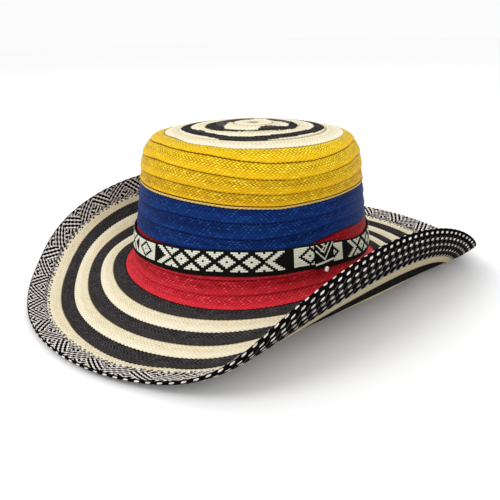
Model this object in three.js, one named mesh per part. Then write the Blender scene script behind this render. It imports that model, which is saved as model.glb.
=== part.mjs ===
import * as THREE from "three";

// Driving sizes of the crown, in millimetres, outside faces.
const HEAD_LENGTH = 193; // crown wall at its foot, front to back
const HEAD_WIDTH = 181; // crown wall at its foot, side to side
const WALL_HEIGHT = 69; // straight wall, from its foot to the shoulder
const WALL_INSET = 8.6; // how far the wall leans in over its height
const SHOULDER_HEIGHT = 25.6;
const SHOULDER_INSET = 15.3;
const DOME_HEIGHT = 7.3; // rise of the top from the shoulder to the centre
const FLARE_RADIUS = 7.9; // bend from the wall into the brim

// Driving sizes of the brim, measured along its surface.
const BRIM_ROW = 11.05; // width of one row of braid
const LAST_ROW = 6.6; // what the trim leaves open of the last row
const TRIM_WIDTH = 19.5;
const BRIM_SADDLE = 2.35; // the brim's root is this much lower in front and higher at the sides

// Thicknesses and clearances.
const STRAW = 2.2; // thickness of the sewn braid
const LAP = 0.7; // how far the lower edge of a row stands over the next
const TRIM_THICKNESS = 4.2;
const GAP = 0.3; // between neighbouring pieces

// Ribbon, its folded tab and the bead.
const BAND_HEIGHT = 18.2;
const BAND_THICKNESS = 1.2;
const BAND_CLEARANCE = 11.6; // from the wall's foot to the ribbon's lower edge
const TAB_WIDTH = 15;
const TAB_OVERHANG = 2.6; // how far the tab reaches past the ribbon's lower edge
const TAB_ANGLE = 80; // degrees round from the front, towards +X
const BEAD_DIAMETER = 3.4;

const FRONT_FULLNESS = 0.024; // share by which the head oval is wider in front and narrower behind

// How far the brim's outward direction turns towards the quarters, which squares the rim.
const SIDE_FAN_ANGLE = 0.04; // radians
const QUARTER_FAN_ANGLE = 0.23; // radians

// Numbers of facets.
const SEGMENTS = 48; // round the hat
const FLARE_STEPS = 4; // down the bend from the wall into the brim
const BRIM_ROW_STEPS = 2; // across one row of the brim
const TAB_COLUMNS = 4;
const TAB_ROWS = 3;
const BEAD_SIDES = 10;
const BEAD_RINGS = 8;

// Rows of the crown, from the wall's foot up to the centre, as shares of the crown's profile length.
// Each zone has a number of rows, and each row bends across its width at a number of places.
const CROWN_ZONES = [
  { name: "red_rows", share: 0.187, rows: 3, bends: 1, colour: "red" },
  { name: "blue_rows", share: 0.1665, rows: 3, bends: 1, colour: "blue" },
  { name: "yellow_rows", share: 0.263, rows: 4, bends: 2, colour: "yellow" },
  { name: "crown_edge_cream_row", share: 0.0685, rows: 1, bends: 1, colour: "cream" },
  { name: "crown_outer_black_row", share: 0.0505, rows: 1, bends: 1, colour: "black" },
  { name: "crown_middle_cream_row", share: 0.0665, rows: 1, bends: 1, colour: "cream" },
  { name: "crown_inner_black_row", share: 0.04, rows: 1, bends: 1, colour: "black" },
  { name: "crown_centre", share: 0.158, rows: 1, bends: 1, colour: "cream" },
];

// Rows of the brim, from the flare out to the trim.
const BRIM_ZONES = [
  { name: "brim_black_row_1", width: BRIM_ROW, colour: "black" },
  { name: "brim_cream_row_1", width: BRIM_ROW, colour: "cream" },
  { name: "brim_black_row_2", width: BRIM_ROW, colour: "black" },
  { name: "brim_cream_row_2", width: BRIM_ROW, colour: "cream" },
  { name: "brim_black_row_3", width: BRIM_ROW, colour: "black" },
  { name: "brim_cream_row_3", width: LAST_ROW, colour: "cream" },
];

// The brim at five angles round from the front: its width as a share of the rows' and the trim's widths,
// and its slope in degrees, upwards positive, at four stations along that width.
const SLOPE_STATIONS = { root: 0, inner: 0.4, outer: 0.75, rim: 1 };
const BRIM_SECTIONS = [
  { at: "front", width: 1, root: -20, inner: -18, outer: 1, rim: 12 },
  { at: "front quarter", width: 0.957, root: -2, inner: -10, outer: 23, rim: 59 },
  { at: "side", width: 0.938, root: -31, inner: 38, outer: 80, rim: 108 },
  { at: "back quarter", width: 1.043, root: -5, inner: -3, outer: 33, rim: 52 },
  { at: "back", width: 1.123, root: -8, inner: -5, outer: 7, rim: 9 },
];

// Section of the trim: places along its width, and thicknesses as shares of the trim's own.
const TRIM_SECTION = [
  { at: "first swell", along: 0.2, swell: 0.85 },
  { at: "full", along: 0.6, swell: 1 },
  { at: "before the rim", along: 0.9, swell: 1 },
  { at: "rim", along: 1, swell: 0.5 },
];

const FINISHES = {
  cream: { color: 0xf2e8cb, roughness: 0.72, metalness: 0 },
  black: { color: 0x26252a, roughness: 0.6, metalness: 0 },
  yellow: { color: 0xf0c018, roughness: 0.65, metalness: 0 },
  blue: { color: 0x1b3a94, roughness: 0.65, metalness: 0 },
  red: { color: 0xcf2033, roughness: 0.6, metalness: 0 },
  trim: { color: 0x6d6b69, roughness: 0.65, metalness: 0 },
  ribbon: { color: 0x2a2a27, roughness: 0.8, metalness: 0 },
  bead: { color: 0xf0e6dc, roughness: 0.35, metalness: 0 },
};

const UP = new THREE.Vector3(0, 0, 1);
const HEAD_RADIUS = (HEAD_LENGTH + HEAD_WIDTH) / 4; // mean radius of the head oval
const BRIM_WIDTH = BRIM_ZONES.reduce((sum, zone) => sum + zone.width, 0) + TRIM_WIDTH;
const WALL_TILT = Math.atan2(WALL_INSET, WALL_HEIGHT);
const FOOT_HEIGHT = FLARE_RADIUS * (1 - Math.sin(WALL_TILT));
const SHOULDER_LEVEL = FOOT_HEIGHT + WALL_HEIGHT;
const RED_SHARE = CROWN_ZONES[0].share;
const PROFILE_STEPS = 24; // along the shoulder, and along the top, when the profile is summed
const RIM_STEPS = 80; // along the brim when its slope is summed
const TIP_ROUNDS = 8; // to level the hat on its lobes

// Small differences that give a surface's direction: an angle, shares, and a distance along the brim.
const ANGLE_PROBE = 0.001;
const CROWN_PROBE = 0.002;
const FLARE_PROBE = 0.01;
const BRIM_PROBE = BRIM_ROW / 20;

// Angle 0 is the front, and a quarter turn is the +X side.
const angleAt = (index) => (index * 2 * Math.PI) / SEGMENTS;

// Point of the head oval at an angle, drawn in by an inset.
function ovalPoint(angle, inset) {
  const fullness = 1 + FRONT_FULLNESS * Math.cos(angle);
  const x = (HEAD_WIDTH / 2 - inset) * Math.sin(angle) * fullness;
  const y = -(HEAD_LENGTH / 2 - inset) * Math.cos(angle);
  return new THREE.Vector3(x, y, 0);
}

// Level direction in which the brim runs out at an angle.
function outward(angle) {
  const along = ovalPoint(angle + ANGLE_PROBE, 0).sub(ovalPoint(angle - ANGLE_PROBE, 0));
  const fan = SIDE_FAN_ANGLE * Math.sin(2 * angle) + QUARTER_FAN_ANGLE * Math.sin(4 * angle);
  return new THREE.Vector3(along.y, -along.x, 0).normalize().applyAxisAngle(UP, fan);
}

// Profile of the crown from its foot to its centre: inset, height and how far it has closed to the middle.
function crownProfile() {
  const steps = PROFILE_STEPS;
  const stations = [{ inset: 0, height: FOOT_HEIGHT, closing: 0 }];
  stations.push({ inset: WALL_INSET, height: SHOULDER_LEVEL, closing: 0 });
  for (let i = 1; i <= steps; i += 1) {
    const turn = (i / steps) * (Math.PI / 2);
    const inset = WALL_INSET + SHOULDER_INSET * (1 - Math.cos(turn));
    stations.push({ inset, height: SHOULDER_LEVEL + SHOULDER_HEIGHT * Math.sin(turn), closing: 0 });
  }
  const inset = WALL_INSET + SHOULDER_INSET;
  for (let i = 1; i <= steps; i += 1) {
    const closing = i / steps;
    const height = SHOULDER_LEVEL + SHOULDER_HEIGHT + DOME_HEIGHT * (1 - (1 - closing) ** 2);
    stations.push({ inset, height, closing });
  }
  let length = 0;
  stations.forEach((station, i) => {
    const reach = HEAD_WIDTH / 2 - station.inset;
    station.radius = reach * (1 - station.closing);
    if (i > 0) {
      const last = stations[i - 1];
      length += Math.hypot(station.radius - last.radius, station.height - last.height);
    }
    station.length = length;
  });
  return stations;
}

const PROFILE = crownProfile();
const PROFILE_LENGTH = PROFILE[PROFILE.length - 1].length;

// Height of the brim's root, and of the wall's foot with it, above its mean.
const saddleLift = (angle) => -BRIM_SADDLE * Math.cos(2 * angle);

// Point of the crown at a share of its profile, 0 at the wall's foot and 1 at the centre.
function crownPoint(angle, share) {
  const length = Math.min(Math.max(share, 0), 1) * PROFILE_LENGTH;
  let i = 1;
  while (i < PROFILE.length - 1 && PROFILE[i].length < length) i += 1;
  const [low, high] = [PROFILE[i - 1], PROFILE[i]];
  const t = (length - low.length) / (high.length - low.length);
  const mix = (key) => low[key] + (high[key] - low[key]) * t;
  const point = ovalPoint(angle, mix("inset")).multiplyScalar(1 - mix("closing"));
  const lift = saddleLift(angle) * Math.max(0, 1 - share / RED_SHARE);
  return point.setZ(mix("height") + lift);
}

// Weight of each brim section at an angle, so that a cosine series passes through all of them.
function roundWeights(angle) {
  const last = BRIM_SECTIONS.length - 1;
  return BRIM_SECTIONS.map((_, row) => {
    let weight = 0;
    for (let k = 0; k <= last; k += 1) {
      const halfTerm = k === 0 || k === last ? 0.5 : 1;
      weight += halfTerm * Math.cos((k * row * Math.PI) / last) * Math.cos(k * angle);
    }
    return (weight * 2 * (row === 0 || row === last ? 0.5 : 1)) / last;
  });
}

// Weight of each station along the brim's width, for a curve through all of them.
function widthWeights(share) {
  const places = Object.values(SLOPE_STATIONS);
  return places.map((own, i) =>
    places.reduce((w, other, j) => (i === j ? w : (w * (share - other)) / (own - other)), 1),
  );
}

// Value of one column of the brim sections at an angle.
function sectionValue(angle, column) {
  const weights = roundWeights(angle);
  return BRIM_SECTIONS.reduce((sum, row, i) => sum + weights[i] * row[column], 0);
}

// Slope of the brim in radians at an angle and a share of its width.
function brimSlope(angle, share) {
  const across = widthWeights(share);
  const names = Object.keys(SLOPE_STATIONS);
  const degrees = names.reduce((sum, name, i) => sum + across[i] * sectionValue(angle, name), 0);
  return THREE.MathUtils.degToRad(degrees);
}

// Reach and height along the brim at an angle, in equal steps from its root to its rim.
function brimMeridian(angle) {
  const root = brimSlope(angle, 0);
  const step = (BRIM_WIDTH * sectionValue(angle, "width")) / RIM_STEPS;
  const points = [
    {
      reach: FLARE_RADIUS * (Math.cos(WALL_TILT) - Math.cos(Math.PI / 2 + root)),
      height: FLARE_RADIUS * (1 - Math.sin(Math.PI / 2 + root)) + saddleLift(angle),
    },
  ];
  for (let i = 1; i <= RIM_STEPS; i += 1) {
    const slope = brimSlope(angle, (i - 0.5) / RIM_STEPS);
    const last = points[i - 1];
    points.push({
      reach: last.reach + Math.cos(slope) * step,
      height: last.height + Math.sin(slope) * step,
    });
  }
  return points;
}

const MERIDIANS = new Map();

function meridianAt(angle) {
  if (!MERIDIANS.has(angle)) MERIDIANS.set(angle, brimMeridian(angle));
  return MERIDIANS.get(angle);
}

function standOut(angle, reach, height) {
  return ovalPoint(angle, 0).addScaledVector(outward(angle), reach).setZ(height);
}

// Point of the brim at a distance from its root, measured where the brim has its named width.
function brimPoint(angle, distance) {
  const meridian = meridianAt(angle);
  const place = (distance / BRIM_WIDTH) * RIM_STEPS;
  const i = Math.min(Math.max(Math.floor(place), 0), RIM_STEPS - 1);
  const t = place - i;
  const [low, high] = [meridian[i], meridian[i + 1]];
  const reach = low.reach + (high.reach - low.reach) * t;
  return standOut(angle, reach, low.height + (high.height - low.height) * t);
}

// Turn of the flare at an angle, from the wall's lean to the brim's root, in radians.
const flareTurn = (angle) => Math.PI / 2 + brimSlope(angle, 0) - WALL_TILT;

// Point of the flare, 0 at the wall's foot and 1 at the brim's root.
function flarePoint(angle, share) {
  const turn = WALL_TILT + flareTurn(angle) * share;
  const reach = FLARE_RADIUS * (Math.cos(WALL_TILT) - Math.cos(turn));
  return standOut(angle, reach, FLARE_RADIUS * (1 - Math.sin(turn)) + saddleLift(angle));
}

// Point at an offset from a surface, square to it. Its places run outwards from the middle if heading is 1.
function offsetPoint(surface, angle, place, offset, step, heading) {
  const along = surface(angle, place + step).sub(surface(angle, place - step));
  const around = surface(angle + ANGLE_PROBE, place).sub(surface(angle - ANGLE_PROBE, place));
  const normal = along.cross(around).normalize();
  return surface(angle, place).addScaledVector(normal, offset * heading);
}

const onCrown = (angle, share, offset) =>
  offsetPoint(crownPoint, angle, share, offset, CROWN_PROBE, -1);
const onFlare = (angle, share, offset) =>
  offsetPoint(flarePoint, angle, share, offset, FLARE_PROBE, 1);
const onBrim = (angle, distance, offset) =>
  offsetPoint(brimPoint, angle, distance, offset, BRIM_PROBE, 1);

// Closed mesh from vertices and faces, each face a loop of vertex numbers seen from outside.
function closedMesh(vertices, faces) {
  const geometry = new THREE.BufferGeometry();
  const index = [];
  faces.forEach((face) => {
    for (let i = 2; i < face.length; i += 1) index.push(face[0], face[i - 1], face[i]);
  });
  const positions = vertices.flatMap((v) => [v.x, v.y, v.z]);
  geometry.setAttribute("position", new THREE.Float32BufferAttribute(positions, 3));
  geometry.setIndex(index);
  geometry.computeVertexNormals();
  return geometry;
}

// Ring from one closed section at each angle; a section runs out over the upper face and back under it.
function ringGeometry(sectionAt) {
  const sections = Array.from({ length: SEGMENTS }, (_, i) => sectionAt(angleAt(i)));
  const count = sections[0].length;
  const faces = [];
  for (let i = 0; i < SEGMENTS; i += 1) {
    const next = (i + 1) % SEGMENTS;
    for (let j = 0; j < count; j += 1) {
      const after = (j + 1) % count;
      faces.push([i * count + j, i * count + after, next * count + after, next * count + j]);
    }
  }
  return closedMesh(sections.flat(), faces);
}

// Disc from one open section at each angle, from above the middle round the edge to below the middle.
function discGeometry(sectionAt, top, bottom) {
  const sections = Array.from({ length: SEGMENTS }, (_, i) => sectionAt(angleAt(i)));
  const count = sections[0].length;
  const vertices = [...sections.flat(), top, bottom];
  const [topIndex, bottomIndex] = [vertices.length - 2, vertices.length - 1];
  const faces = [];
  for (let i = 0; i < SEGMENTS; i += 1) {
    const next = (i + 1) % SEGMENTS;
    faces.push([topIndex, i * count, next * count]);
    faces.push([bottomIndex, next * count + count - 1, i * count + count - 1]);
    for (let j = 0; j + 1 < count; j += 1) {
      faces.push([i * count + j, i * count + j + 1, next * count + j + 1, next * count + j]);
    }
  }
  return closedMesh(vertices, faces);
}

// Bent plate from a grid of places, with its inner and outer face at two offsets.
function plateGeometry(columns, rows, inner, outer, pointAt) {
  const faceOf = (offset) => columns.flatMap((column) => rows.map((row) => pointAt(column, row, offset)));
  const vertices = [...faceOf(outer), ...faceOf(inner)];
  const [across, up] = [columns.length, rows.length];
  const half = across * up;
  const at = (i, j) => i * up + j;
  const faces = [];
  for (let i = 0; i + 1 < across; i += 1) {
    for (let j = 0; j + 1 < up; j += 1) {
      const loop = [at(i, j), at(i + 1, j), at(i + 1, j + 1), at(i, j + 1)];
      faces.push(loop);
      faces.push(loop.map((v) => v + half).reverse());
    }
    faces.push([at(i, 0), at(i, 0) + half, at(i + 1, 0) + half, at(i + 1, 0)]);
    faces.push([at(i, up - 1), at(i + 1, up - 1), at(i + 1, up - 1) + half, at(i, up - 1) + half]);
  }
  for (let j = 0; j + 1 < up; j += 1) {
    const end = across - 1;
    faces.push([at(0, j), at(0, j + 1), at(0, j + 1) + half, at(0, j) + half]);
    faces.push([at(end, j), at(end, j) + half, at(end, j + 1) + half, at(end, j + 1)]);
  }
  return closedMesh(vertices, faces);
}

// Evenly spaced values from one to another, both ends included.
const spread = (from, to, steps) =>
  Array.from({ length: steps + 1 }, (_, i) => from + ((to - from) * i) / steps);

const hat = new THREE.Group();
hat.name = "vueltiao_hat";

function addPiece(name, finish, geometry) {
  const mesh = new THREE.Mesh(geometry, new THREE.MeshStandardMaterial(FINISHES[finish]));
  mesh.name = name;
  hat.add(mesh);
  return mesh;
}

const HALF_GAP = GAP / 2;
const HALF_GAP_SHARE = HALF_GAP / PROFILE_LENGTH;

// Outer face of lapped rows between two shares, from the higher to the lower.
function lappedFace(angle, from, to, zone) {
  const edges = spread(to, from, zone.rows);
  return edges.slice(1).flatMap((lower, row) =>
    spread(0, 1, zone.bends).map((t) =>
      onCrown(angle, edges[row] + (lower - edges[row]) * t, LAP * t)));
}

function innerFace(angle, from, to, steps) {
  return spread(from, to, steps).map((share) => onCrown(angle, share, -STRAW));
}

// The rows of the crown above the red ones, each zone one ring.
function addCrownRows() {
  let from = RED_SHARE;
  CROWN_ZONES.slice(1, -1).forEach((zone) => {
    const [low, high] = [from + HALF_GAP_SHARE, from + zone.share - HALF_GAP_SHARE];
    const steps = zone.bends * 2;
    addPiece(zone.name, zone.colour, ringGeometry((angle) => [
      ...lappedFace(angle, low, high, zone),
      ...innerFace(angle, low, high, steps),
    ]));
    from += zone.share;
  });
  return from;
}

function addCrownCentre(from) {
  const zone = CROWN_ZONES[CROWN_ZONES.length - 1];
  const low = from + HALF_GAP_SHARE;
  const middle = (1 + from) / 2;
  const top = crownPoint(0, 1);
  const bottom = top.clone().addScaledVector(UP, -STRAW);
  addPiece(zone.name, zone.colour, discGeometry((angle) => [
    onCrown(angle, middle, 0),
    onCrown(angle, low, 0),
    onCrown(angle, low, -STRAW),
    onCrown(angle, middle, -STRAW),
  ], top, bottom));
}

// The red rows: the wall behind the ribbon and the bend into the brim, in one ring.
function addRedRows() {
  const zone = CROWN_ZONES[0];
  const high = RED_SHARE - HALF_GAP_SHARE;
  addPiece(zone.name, zone.colour, ringGeometry((angle) => {
    const end = 1 - HALF_GAP / (FLARE_RADIUS * flareTurn(angle));
    const flare = spread(0, end, FLARE_STEPS).slice(1);
    return [
      ...lappedFace(angle, 0, high, zone),
      ...flare.map((share) => onFlare(angle, share, LAP * (1 - share))),
      ...[...flare].reverse().map((share) => onFlare(angle, share, -STRAW)),
      ...innerFace(angle, 0, high, zone.bends * 2),
    ];
  }));
}

function addBrimRows() {
  let from = 0;
  BRIM_ZONES.forEach((zone) => {
    const places = spread(from + HALF_GAP, from + zone.width - HALF_GAP, BRIM_ROW_STEPS);
    addPiece(zone.name, zone.colour, ringGeometry((angle) => [
      ...places.map((place) => onBrim(angle, place, 0)),
      ...[...places].reverse().map((place) => onBrim(angle, place, -STRAW)),
    ]));
    from += zone.width;
  });
  return from;
}

// The trim wraps the rim: thick at its edge, level with the last row where it starts.
function addTrim(from) {
  const middle = -STRAW / 2;
  const start = from + HALF_GAP;
  const width = TRIM_WIDTH - HALF_GAP;
  const stations = TRIM_SECTION.map((row) => (
    { place: start + row.along * width, half: (row.swell * TRIM_THICKNESS) / 2 }
  ));
  stations.unshift({ place: start, half: STRAW / 2 });
  const side = (angle, station, sign) => onBrim(angle, station.place, middle + sign * station.half);
  addPiece("brim_trim", "trim", ringGeometry((angle) => [
    ...stations.map((station) => side(angle, station, 1)),
    ...[...stations].reverse().map((station) => side(angle, station, -1)),
  ]));
}

// Share of the crown's profile at a height above the wall's foot.
const wallShare = (height) => height / Math.cos(WALL_TILT) / PROFILE_LENGTH;

const BAND_INNER = LAP + GAP;
const BAND_OUTER = BAND_INNER + BAND_THICKNESS;
const BAND_LOW = wallShare(BAND_CLEARANCE);
const BAND_HIGH = wallShare(BAND_CLEARANCE + BAND_HEIGHT);

function addBand() {
  addPiece("hat_band", "ribbon", ringGeometry((angle) => [
    onCrown(angle, BAND_HIGH, BAND_OUTER),
    onCrown(angle, BAND_LOW, BAND_OUTER),
    onCrown(angle, BAND_LOW, BAND_INNER),
    onCrown(angle, BAND_HIGH, BAND_INNER),
  ]));
}

const TAB_INNER = BAND_OUTER + GAP;
const TAB_OUTER = TAB_INNER + BAND_THICKNESS;
const TAB_LOW = wallShare(BAND_CLEARANCE - TAB_OVERHANG);

// The tab and the bead are on the ribbon, at the tab's angle.
function addTabAndBead() {
  const centre = THREE.MathUtils.degToRad(TAB_ANGLE);
  const half = TAB_WIDTH / 2 / HEAD_RADIUS;
  const columns = spread(centre - half, centre + half, TAB_COLUMNS);
  const rows = spread(TAB_LOW, BAND_HIGH, TAB_ROWS);
  addPiece("band_tab", "ribbon", plateGeometry(columns, rows, TAB_INNER, TAB_OUTER, onCrown));
  const radius = BEAD_DIAMETER / 2;
  const bead = addPiece("tab_bead", "bead", new THREE.SphereGeometry(radius, BEAD_SIDES, BEAD_RINGS));
  bead.position.copy(onCrown(centre, TAB_LOW, TAB_OUTER + GAP + radius));
}

addRedRows();
addCrownCentre(addCrownRows());
addTrim(addBrimRows());
addBand();
addTabAndBead();

// Lowest point of each half of the hat, in front and behind, with the hat tipped back by an angle.
function lowPoints(tip) {
  const low = { front: new THREE.Vector3(0, 0, Infinity), back: new THREE.Vector3(0, 0, Infinity) };
  const turn = new THREE.Matrix4().makeRotationX(-tip);
  const point = new THREE.Vector3();
  hat.children.forEach((mesh) => {
    const position = mesh.geometry.getAttribute("position");
    for (let i = 0; i < position.count; i += 1) {
      point.fromBufferAttribute(position, i).add(mesh.position).applyMatrix4(turn);
      const side = point.y < 0 ? "front" : "back";
      if (point.z < low[side].z) low[side].copy(point);
    }
  });
  return low;
}

// The hat rests on its front and its back lobe, so it tips back until both are at one height.
function restTip() {
  let tip = 0;
  for (let round = 0; round < TIP_ROUNDS; round += 1) {
    const { front, back } = lowPoints(tip);
    tip += Math.atan2(back.z - front.z, back.y - front.y);
  }
  return tip;
}

hat.rotation.x = -restTip();

// The part's origin is below the middle of the hat, on the surface that it rests on.
const part = new THREE.Group();
part.add(hat);
part.updateMatrixWorld(true);
const box = new THREE.Box3().setFromObject(part, true);
const middle = box.getCenter(new THREE.Vector3());
hat.position.set(-middle.x, -middle.y, -box.min.z);

export default part;
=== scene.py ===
"""Looks of a vueltiao hat: sewn rows of cane braid, a plaited trim round the rim and a patterned ribbon."""

from __future__ import annotations

import logging
import math
from dataclasses import dataclass, field
from enum import Enum
from typing import Any, Callable, Sequence, Union

import bpy
import numpy as np
from mathutils import Matrix, Vector


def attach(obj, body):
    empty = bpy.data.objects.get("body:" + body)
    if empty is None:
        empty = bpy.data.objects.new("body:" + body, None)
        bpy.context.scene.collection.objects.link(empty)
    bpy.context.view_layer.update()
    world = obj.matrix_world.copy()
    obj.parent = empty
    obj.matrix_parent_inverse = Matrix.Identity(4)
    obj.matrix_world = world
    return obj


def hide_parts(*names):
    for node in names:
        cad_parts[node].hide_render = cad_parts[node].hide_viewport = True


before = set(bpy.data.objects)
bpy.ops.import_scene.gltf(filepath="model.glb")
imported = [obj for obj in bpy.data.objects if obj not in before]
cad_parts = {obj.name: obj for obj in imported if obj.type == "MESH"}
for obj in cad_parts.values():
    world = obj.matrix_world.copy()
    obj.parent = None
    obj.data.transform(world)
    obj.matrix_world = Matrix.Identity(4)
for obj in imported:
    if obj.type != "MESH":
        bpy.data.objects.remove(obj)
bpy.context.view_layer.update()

MM = 0.001
TURN = 2 * math.pi
TINY = 1e-9
QUARTERS = 4
LOG = logging.getLogger("vueltiao_hat")

Array = np.ndarray
Value = Union[float, "Socket"]


# Form of the hat

@dataclass(frozen=True)
class BrimSection:
    """The brim at one angle: its width as a share, and its slope in degrees at four stations."""

    width: float
    root: float
    inner: float
    outer: float
    rim: float


@dataclass(frozen=True)
class HatForm:
    """Surface of the hat in millimetres, before it tips back onto its lobes.

    A place on it is an angle round the hat, 0 at the front and a quarter turn at +X, and a
    distance up from the foot of the crown's wall. Below 0 that distance runs down the flare
    and then out along the brim.
    """

    head_length: float = 193.0
    head_width: float = 181.0
    wall_height: float = 69.0
    wall_inset: float = 8.6
    shoulder_height: float = 25.6
    shoulder_inset: float = 15.3
    dome_height: float = 7.3
    flare_radius: float = 7.9
    flare_length: float = 9.0
    brim_width: float = 81.35
    brim_saddle: float = 2.35
    red_share: float = 0.187
    front_fullness: float = 0.024
    fan_to_side: float = 0.04
    fan_to_quarter: float = 0.23
    rest_tip: float = 1.8317
    rest_shift: float = -6.506
    rest_lift: float = 15.786
    probe_swing: float = 0.004
    probe_step: float = 0.4
    line_steps: int = 1440
    stations: tuple[float, ...] = (0.0, 0.4, 0.75, 1.0)
    sections: tuple[BrimSection, ...] = (
        BrimSection(width=1.0, root=-20, inner=-18, outer=1, rim=12),
        BrimSection(width=0.957, root=-2, inner=-10, outer=23, rim=59),
        BrimSection(width=0.938, root=-31, inner=38, outer=80, rim=108),
        BrimSection(width=1.043, root=-5, inner=-3, outer=33, rim=52),
        BrimSection(width=1.123, root=-8, inner=-5, outer=7, rim=9),
    )
    table: dict[str, Array] = field(default_factory=dict)

    def __post_init__(self) -> None:
        """Work out the crown's profile and the brim's meridians once."""
        self.table.update(self._crown_profile())
        self.table.update(self._brim_meridians())

    @property
    def wall_tilt(self) -> float:
        """Lean of the wall in radians."""
        return math.atan2(self.wall_inset, self.wall_height)

    @property
    def foot_height(self) -> float:
        """Height of the wall's foot above the brim's root."""
        return self.flare_radius * (1 - math.sin(self.wall_tilt))

    @property
    def profile_length(self) -> float:
        """Length of the crown's profile from the wall's foot to the centre."""
        return float(self.table["length"][-1])

    def _crown_profile(self, steps: int = 24) -> dict[str, Array]:
        """Work out the crown's profile.

        Args:
            steps: Steps of the shoulder, and of the flat top.

        Returns:
            Inset, height, closing towards the centre, and length along the profile.
        """
        share = np.arange(1, steps + 1) / steps
        shoulder_level = self.foot_height + self.wall_height
        turn = share * math.pi / 2
        curve = self.wall_inset + self.shoulder_inset * (1 - np.cos(turn))
        flat = np.full(steps, self.wall_inset + self.shoulder_inset)
        inset = np.concatenate(([0.0, self.wall_inset], curve, flat))
        climb = shoulder_level + self.shoulder_height * np.sin(turn)
        dome = shoulder_level + self.shoulder_height + self.dome_height * (1 - (1 - share) ** 2)
        height = np.concatenate(([self.foot_height, shoulder_level], climb, dome))
        closing = np.concatenate((np.zeros(2 + steps), share))
        radius = (self.head_width / 2 - inset) * (1 - closing)
        length = np.concatenate(([0.0], np.cumsum(np.hypot(np.diff(radius), np.diff(height)))))
        return {"inset": inset, "height": height, "closing": closing, "length": length}

    def _slopes(self, angle: Array, share: Array) -> Array:
        """Slope of the brim, from the sections and a curve through the stations.

        Args:
            angle: Angles round the hat in radians.
            share: Shares of the brim's width, from its root to its rim.

        Returns:
            Slopes in radians, a row for each angle and a column for each share.
        """
        last = len(self.sections) - 1
        degrees = np.zeros((len(angle), len(share)))
        for column, station in enumerate(self.stations):
            others = [s for s in self.stations if s != station]
            across = np.prod([(share - other) / (station - other) for other in others], axis=0)
            values = [(s.root, s.inner, s.outer, s.rim)[column] for s in self.sections]
            degrees += self._series(values, last, angle)[:, None] * across
        return np.radians(degrees)

    @staticmethod
    def _series(values: Sequence[float], last: int, angle: Array) -> Array:
        """Cosine series through values that are evenly spaced over half a turn.

        Args:
            values: The values, from the front to the back.
            last: Number of the last value.
            angle: Angles round the hat in radians.

        Returns:
            The series at each angle.
        """
        total = np.zeros_like(angle)
        for k in range(last + 1):
            weights = [0.5 if row in (0, last) else 1.0 for row in range(last + 1)]
            term = sum(w * v * math.cos(k * row * math.pi / last)
                       for row, (w, v) in enumerate(zip(weights, values)))
            total += (0.5 if k in (0, last) else 1.0) * term * np.cos(k * angle)
        return total * 2 / last

    def _brim_meridians(self, rim_steps: int = 80, turns: int = 720) -> dict[str, Array]:
        """Work out reach and height along the brim on a regular grid of angles.

        Args:
            rim_steps: Steps along the brim's width.
            turns: Steps round the hat.

        Returns:
            Reach and height, a row for each angle, and the slope at the root.
        """
        angle = np.arange(turns + 1) * TURN / turns
        last = len(self.sections) - 1
        width = self.brim_width * self._series([s.width for s in self.sections], last, angle)
        slopes = self._slopes(angle, (np.arange(rim_steps) + 0.5) / rim_steps)
        root = self._slopes(angle, np.array([0.0]))[:, 0]
        turn = math.pi / 2 + root
        start_reach = self.flare_radius * (math.cos(self.wall_tilt) - np.cos(turn))
        start_height = self.flare_radius * (1 - np.sin(turn))
        step = (width / rim_steps)[:, None]
        reach = np.cumsum(np.cos(slopes) * step, axis=1) + start_reach[:, None]
        height = np.cumsum(np.sin(slopes) * step, axis=1) + start_height[:, None]
        return {
            "brim_reach": np.hstack((start_reach[:, None], reach)),
            "brim_height": np.hstack((start_height[:, None], height)),
            "root": root,
        }

    def oval(self, angle: Array, inset: Array) -> tuple[Array, Array]:
        """Level place on the head's oval, drawn in by an inset.

        Args:
            angle: Angles round the hat in radians.
            inset: How far in from the oval, in millimetres.

        Returns:
            The x and the y of each place.
        """
        fullness = 1 + self.front_fullness * np.cos(angle)
        x = (self.head_width / 2 - inset) * np.sin(angle) * fullness
        y = -(self.head_length / 2 - inset) * np.cos(angle)
        return x, y

    def outward(self, angle: Array) -> tuple[Array, Array]:
        """Level direction in which the brim runs out.

        Args:
            angle: Angles round the hat in radians.

        Returns:
            The x and the y of each direction, of length 1.
        """
        wide, egg = self.head_width / 2, self.front_fullness
        along_x = wide * (np.cos(angle) + egg * np.cos(2 * angle))
        along_y = self.head_length / 2 * np.sin(angle)
        fan = self.fan_to_side * np.sin(2 * angle) + self.fan_to_quarter * np.sin(4 * angle)
        size = np.hypot(along_x, along_y)
        x, y = along_y / size, -along_x / size
        return x * np.cos(fan) - y * np.sin(fan), x * np.sin(fan) + y * np.cos(fan)

    def _brim_grid(self, name: str, angle: Array, distance: Array) -> Array:
        """Value of one of the brim's tables between its grid points.

        Args:
            name: The table's name.
            angle: Angles round the hat in radians.
            distance: Distances out from the brim's root.

        Returns:
            The values, carried on straight past the rim.
        """
        values = self.table[name]
        turns, steps = values.shape[0] - 1, values.shape[1] - 1
        row = (angle / TURN % 1.0) * turns
        column = np.clip(distance / self.brim_width * steps, 0, steps - TINY)
        over = np.maximum(distance / self.brim_width * steps - steps, 0)
        i, j = np.minimum(row.astype(int), turns - 1), column.astype(int)
        s, t = row - i, column - j + over
        low = values[i, j] * (1 - t) + values[i, j + 1] * t
        high = values[i + 1, j] * (1 - t) + values[i + 1, j + 1] * t
        return low * (1 - s) + high * s

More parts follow.
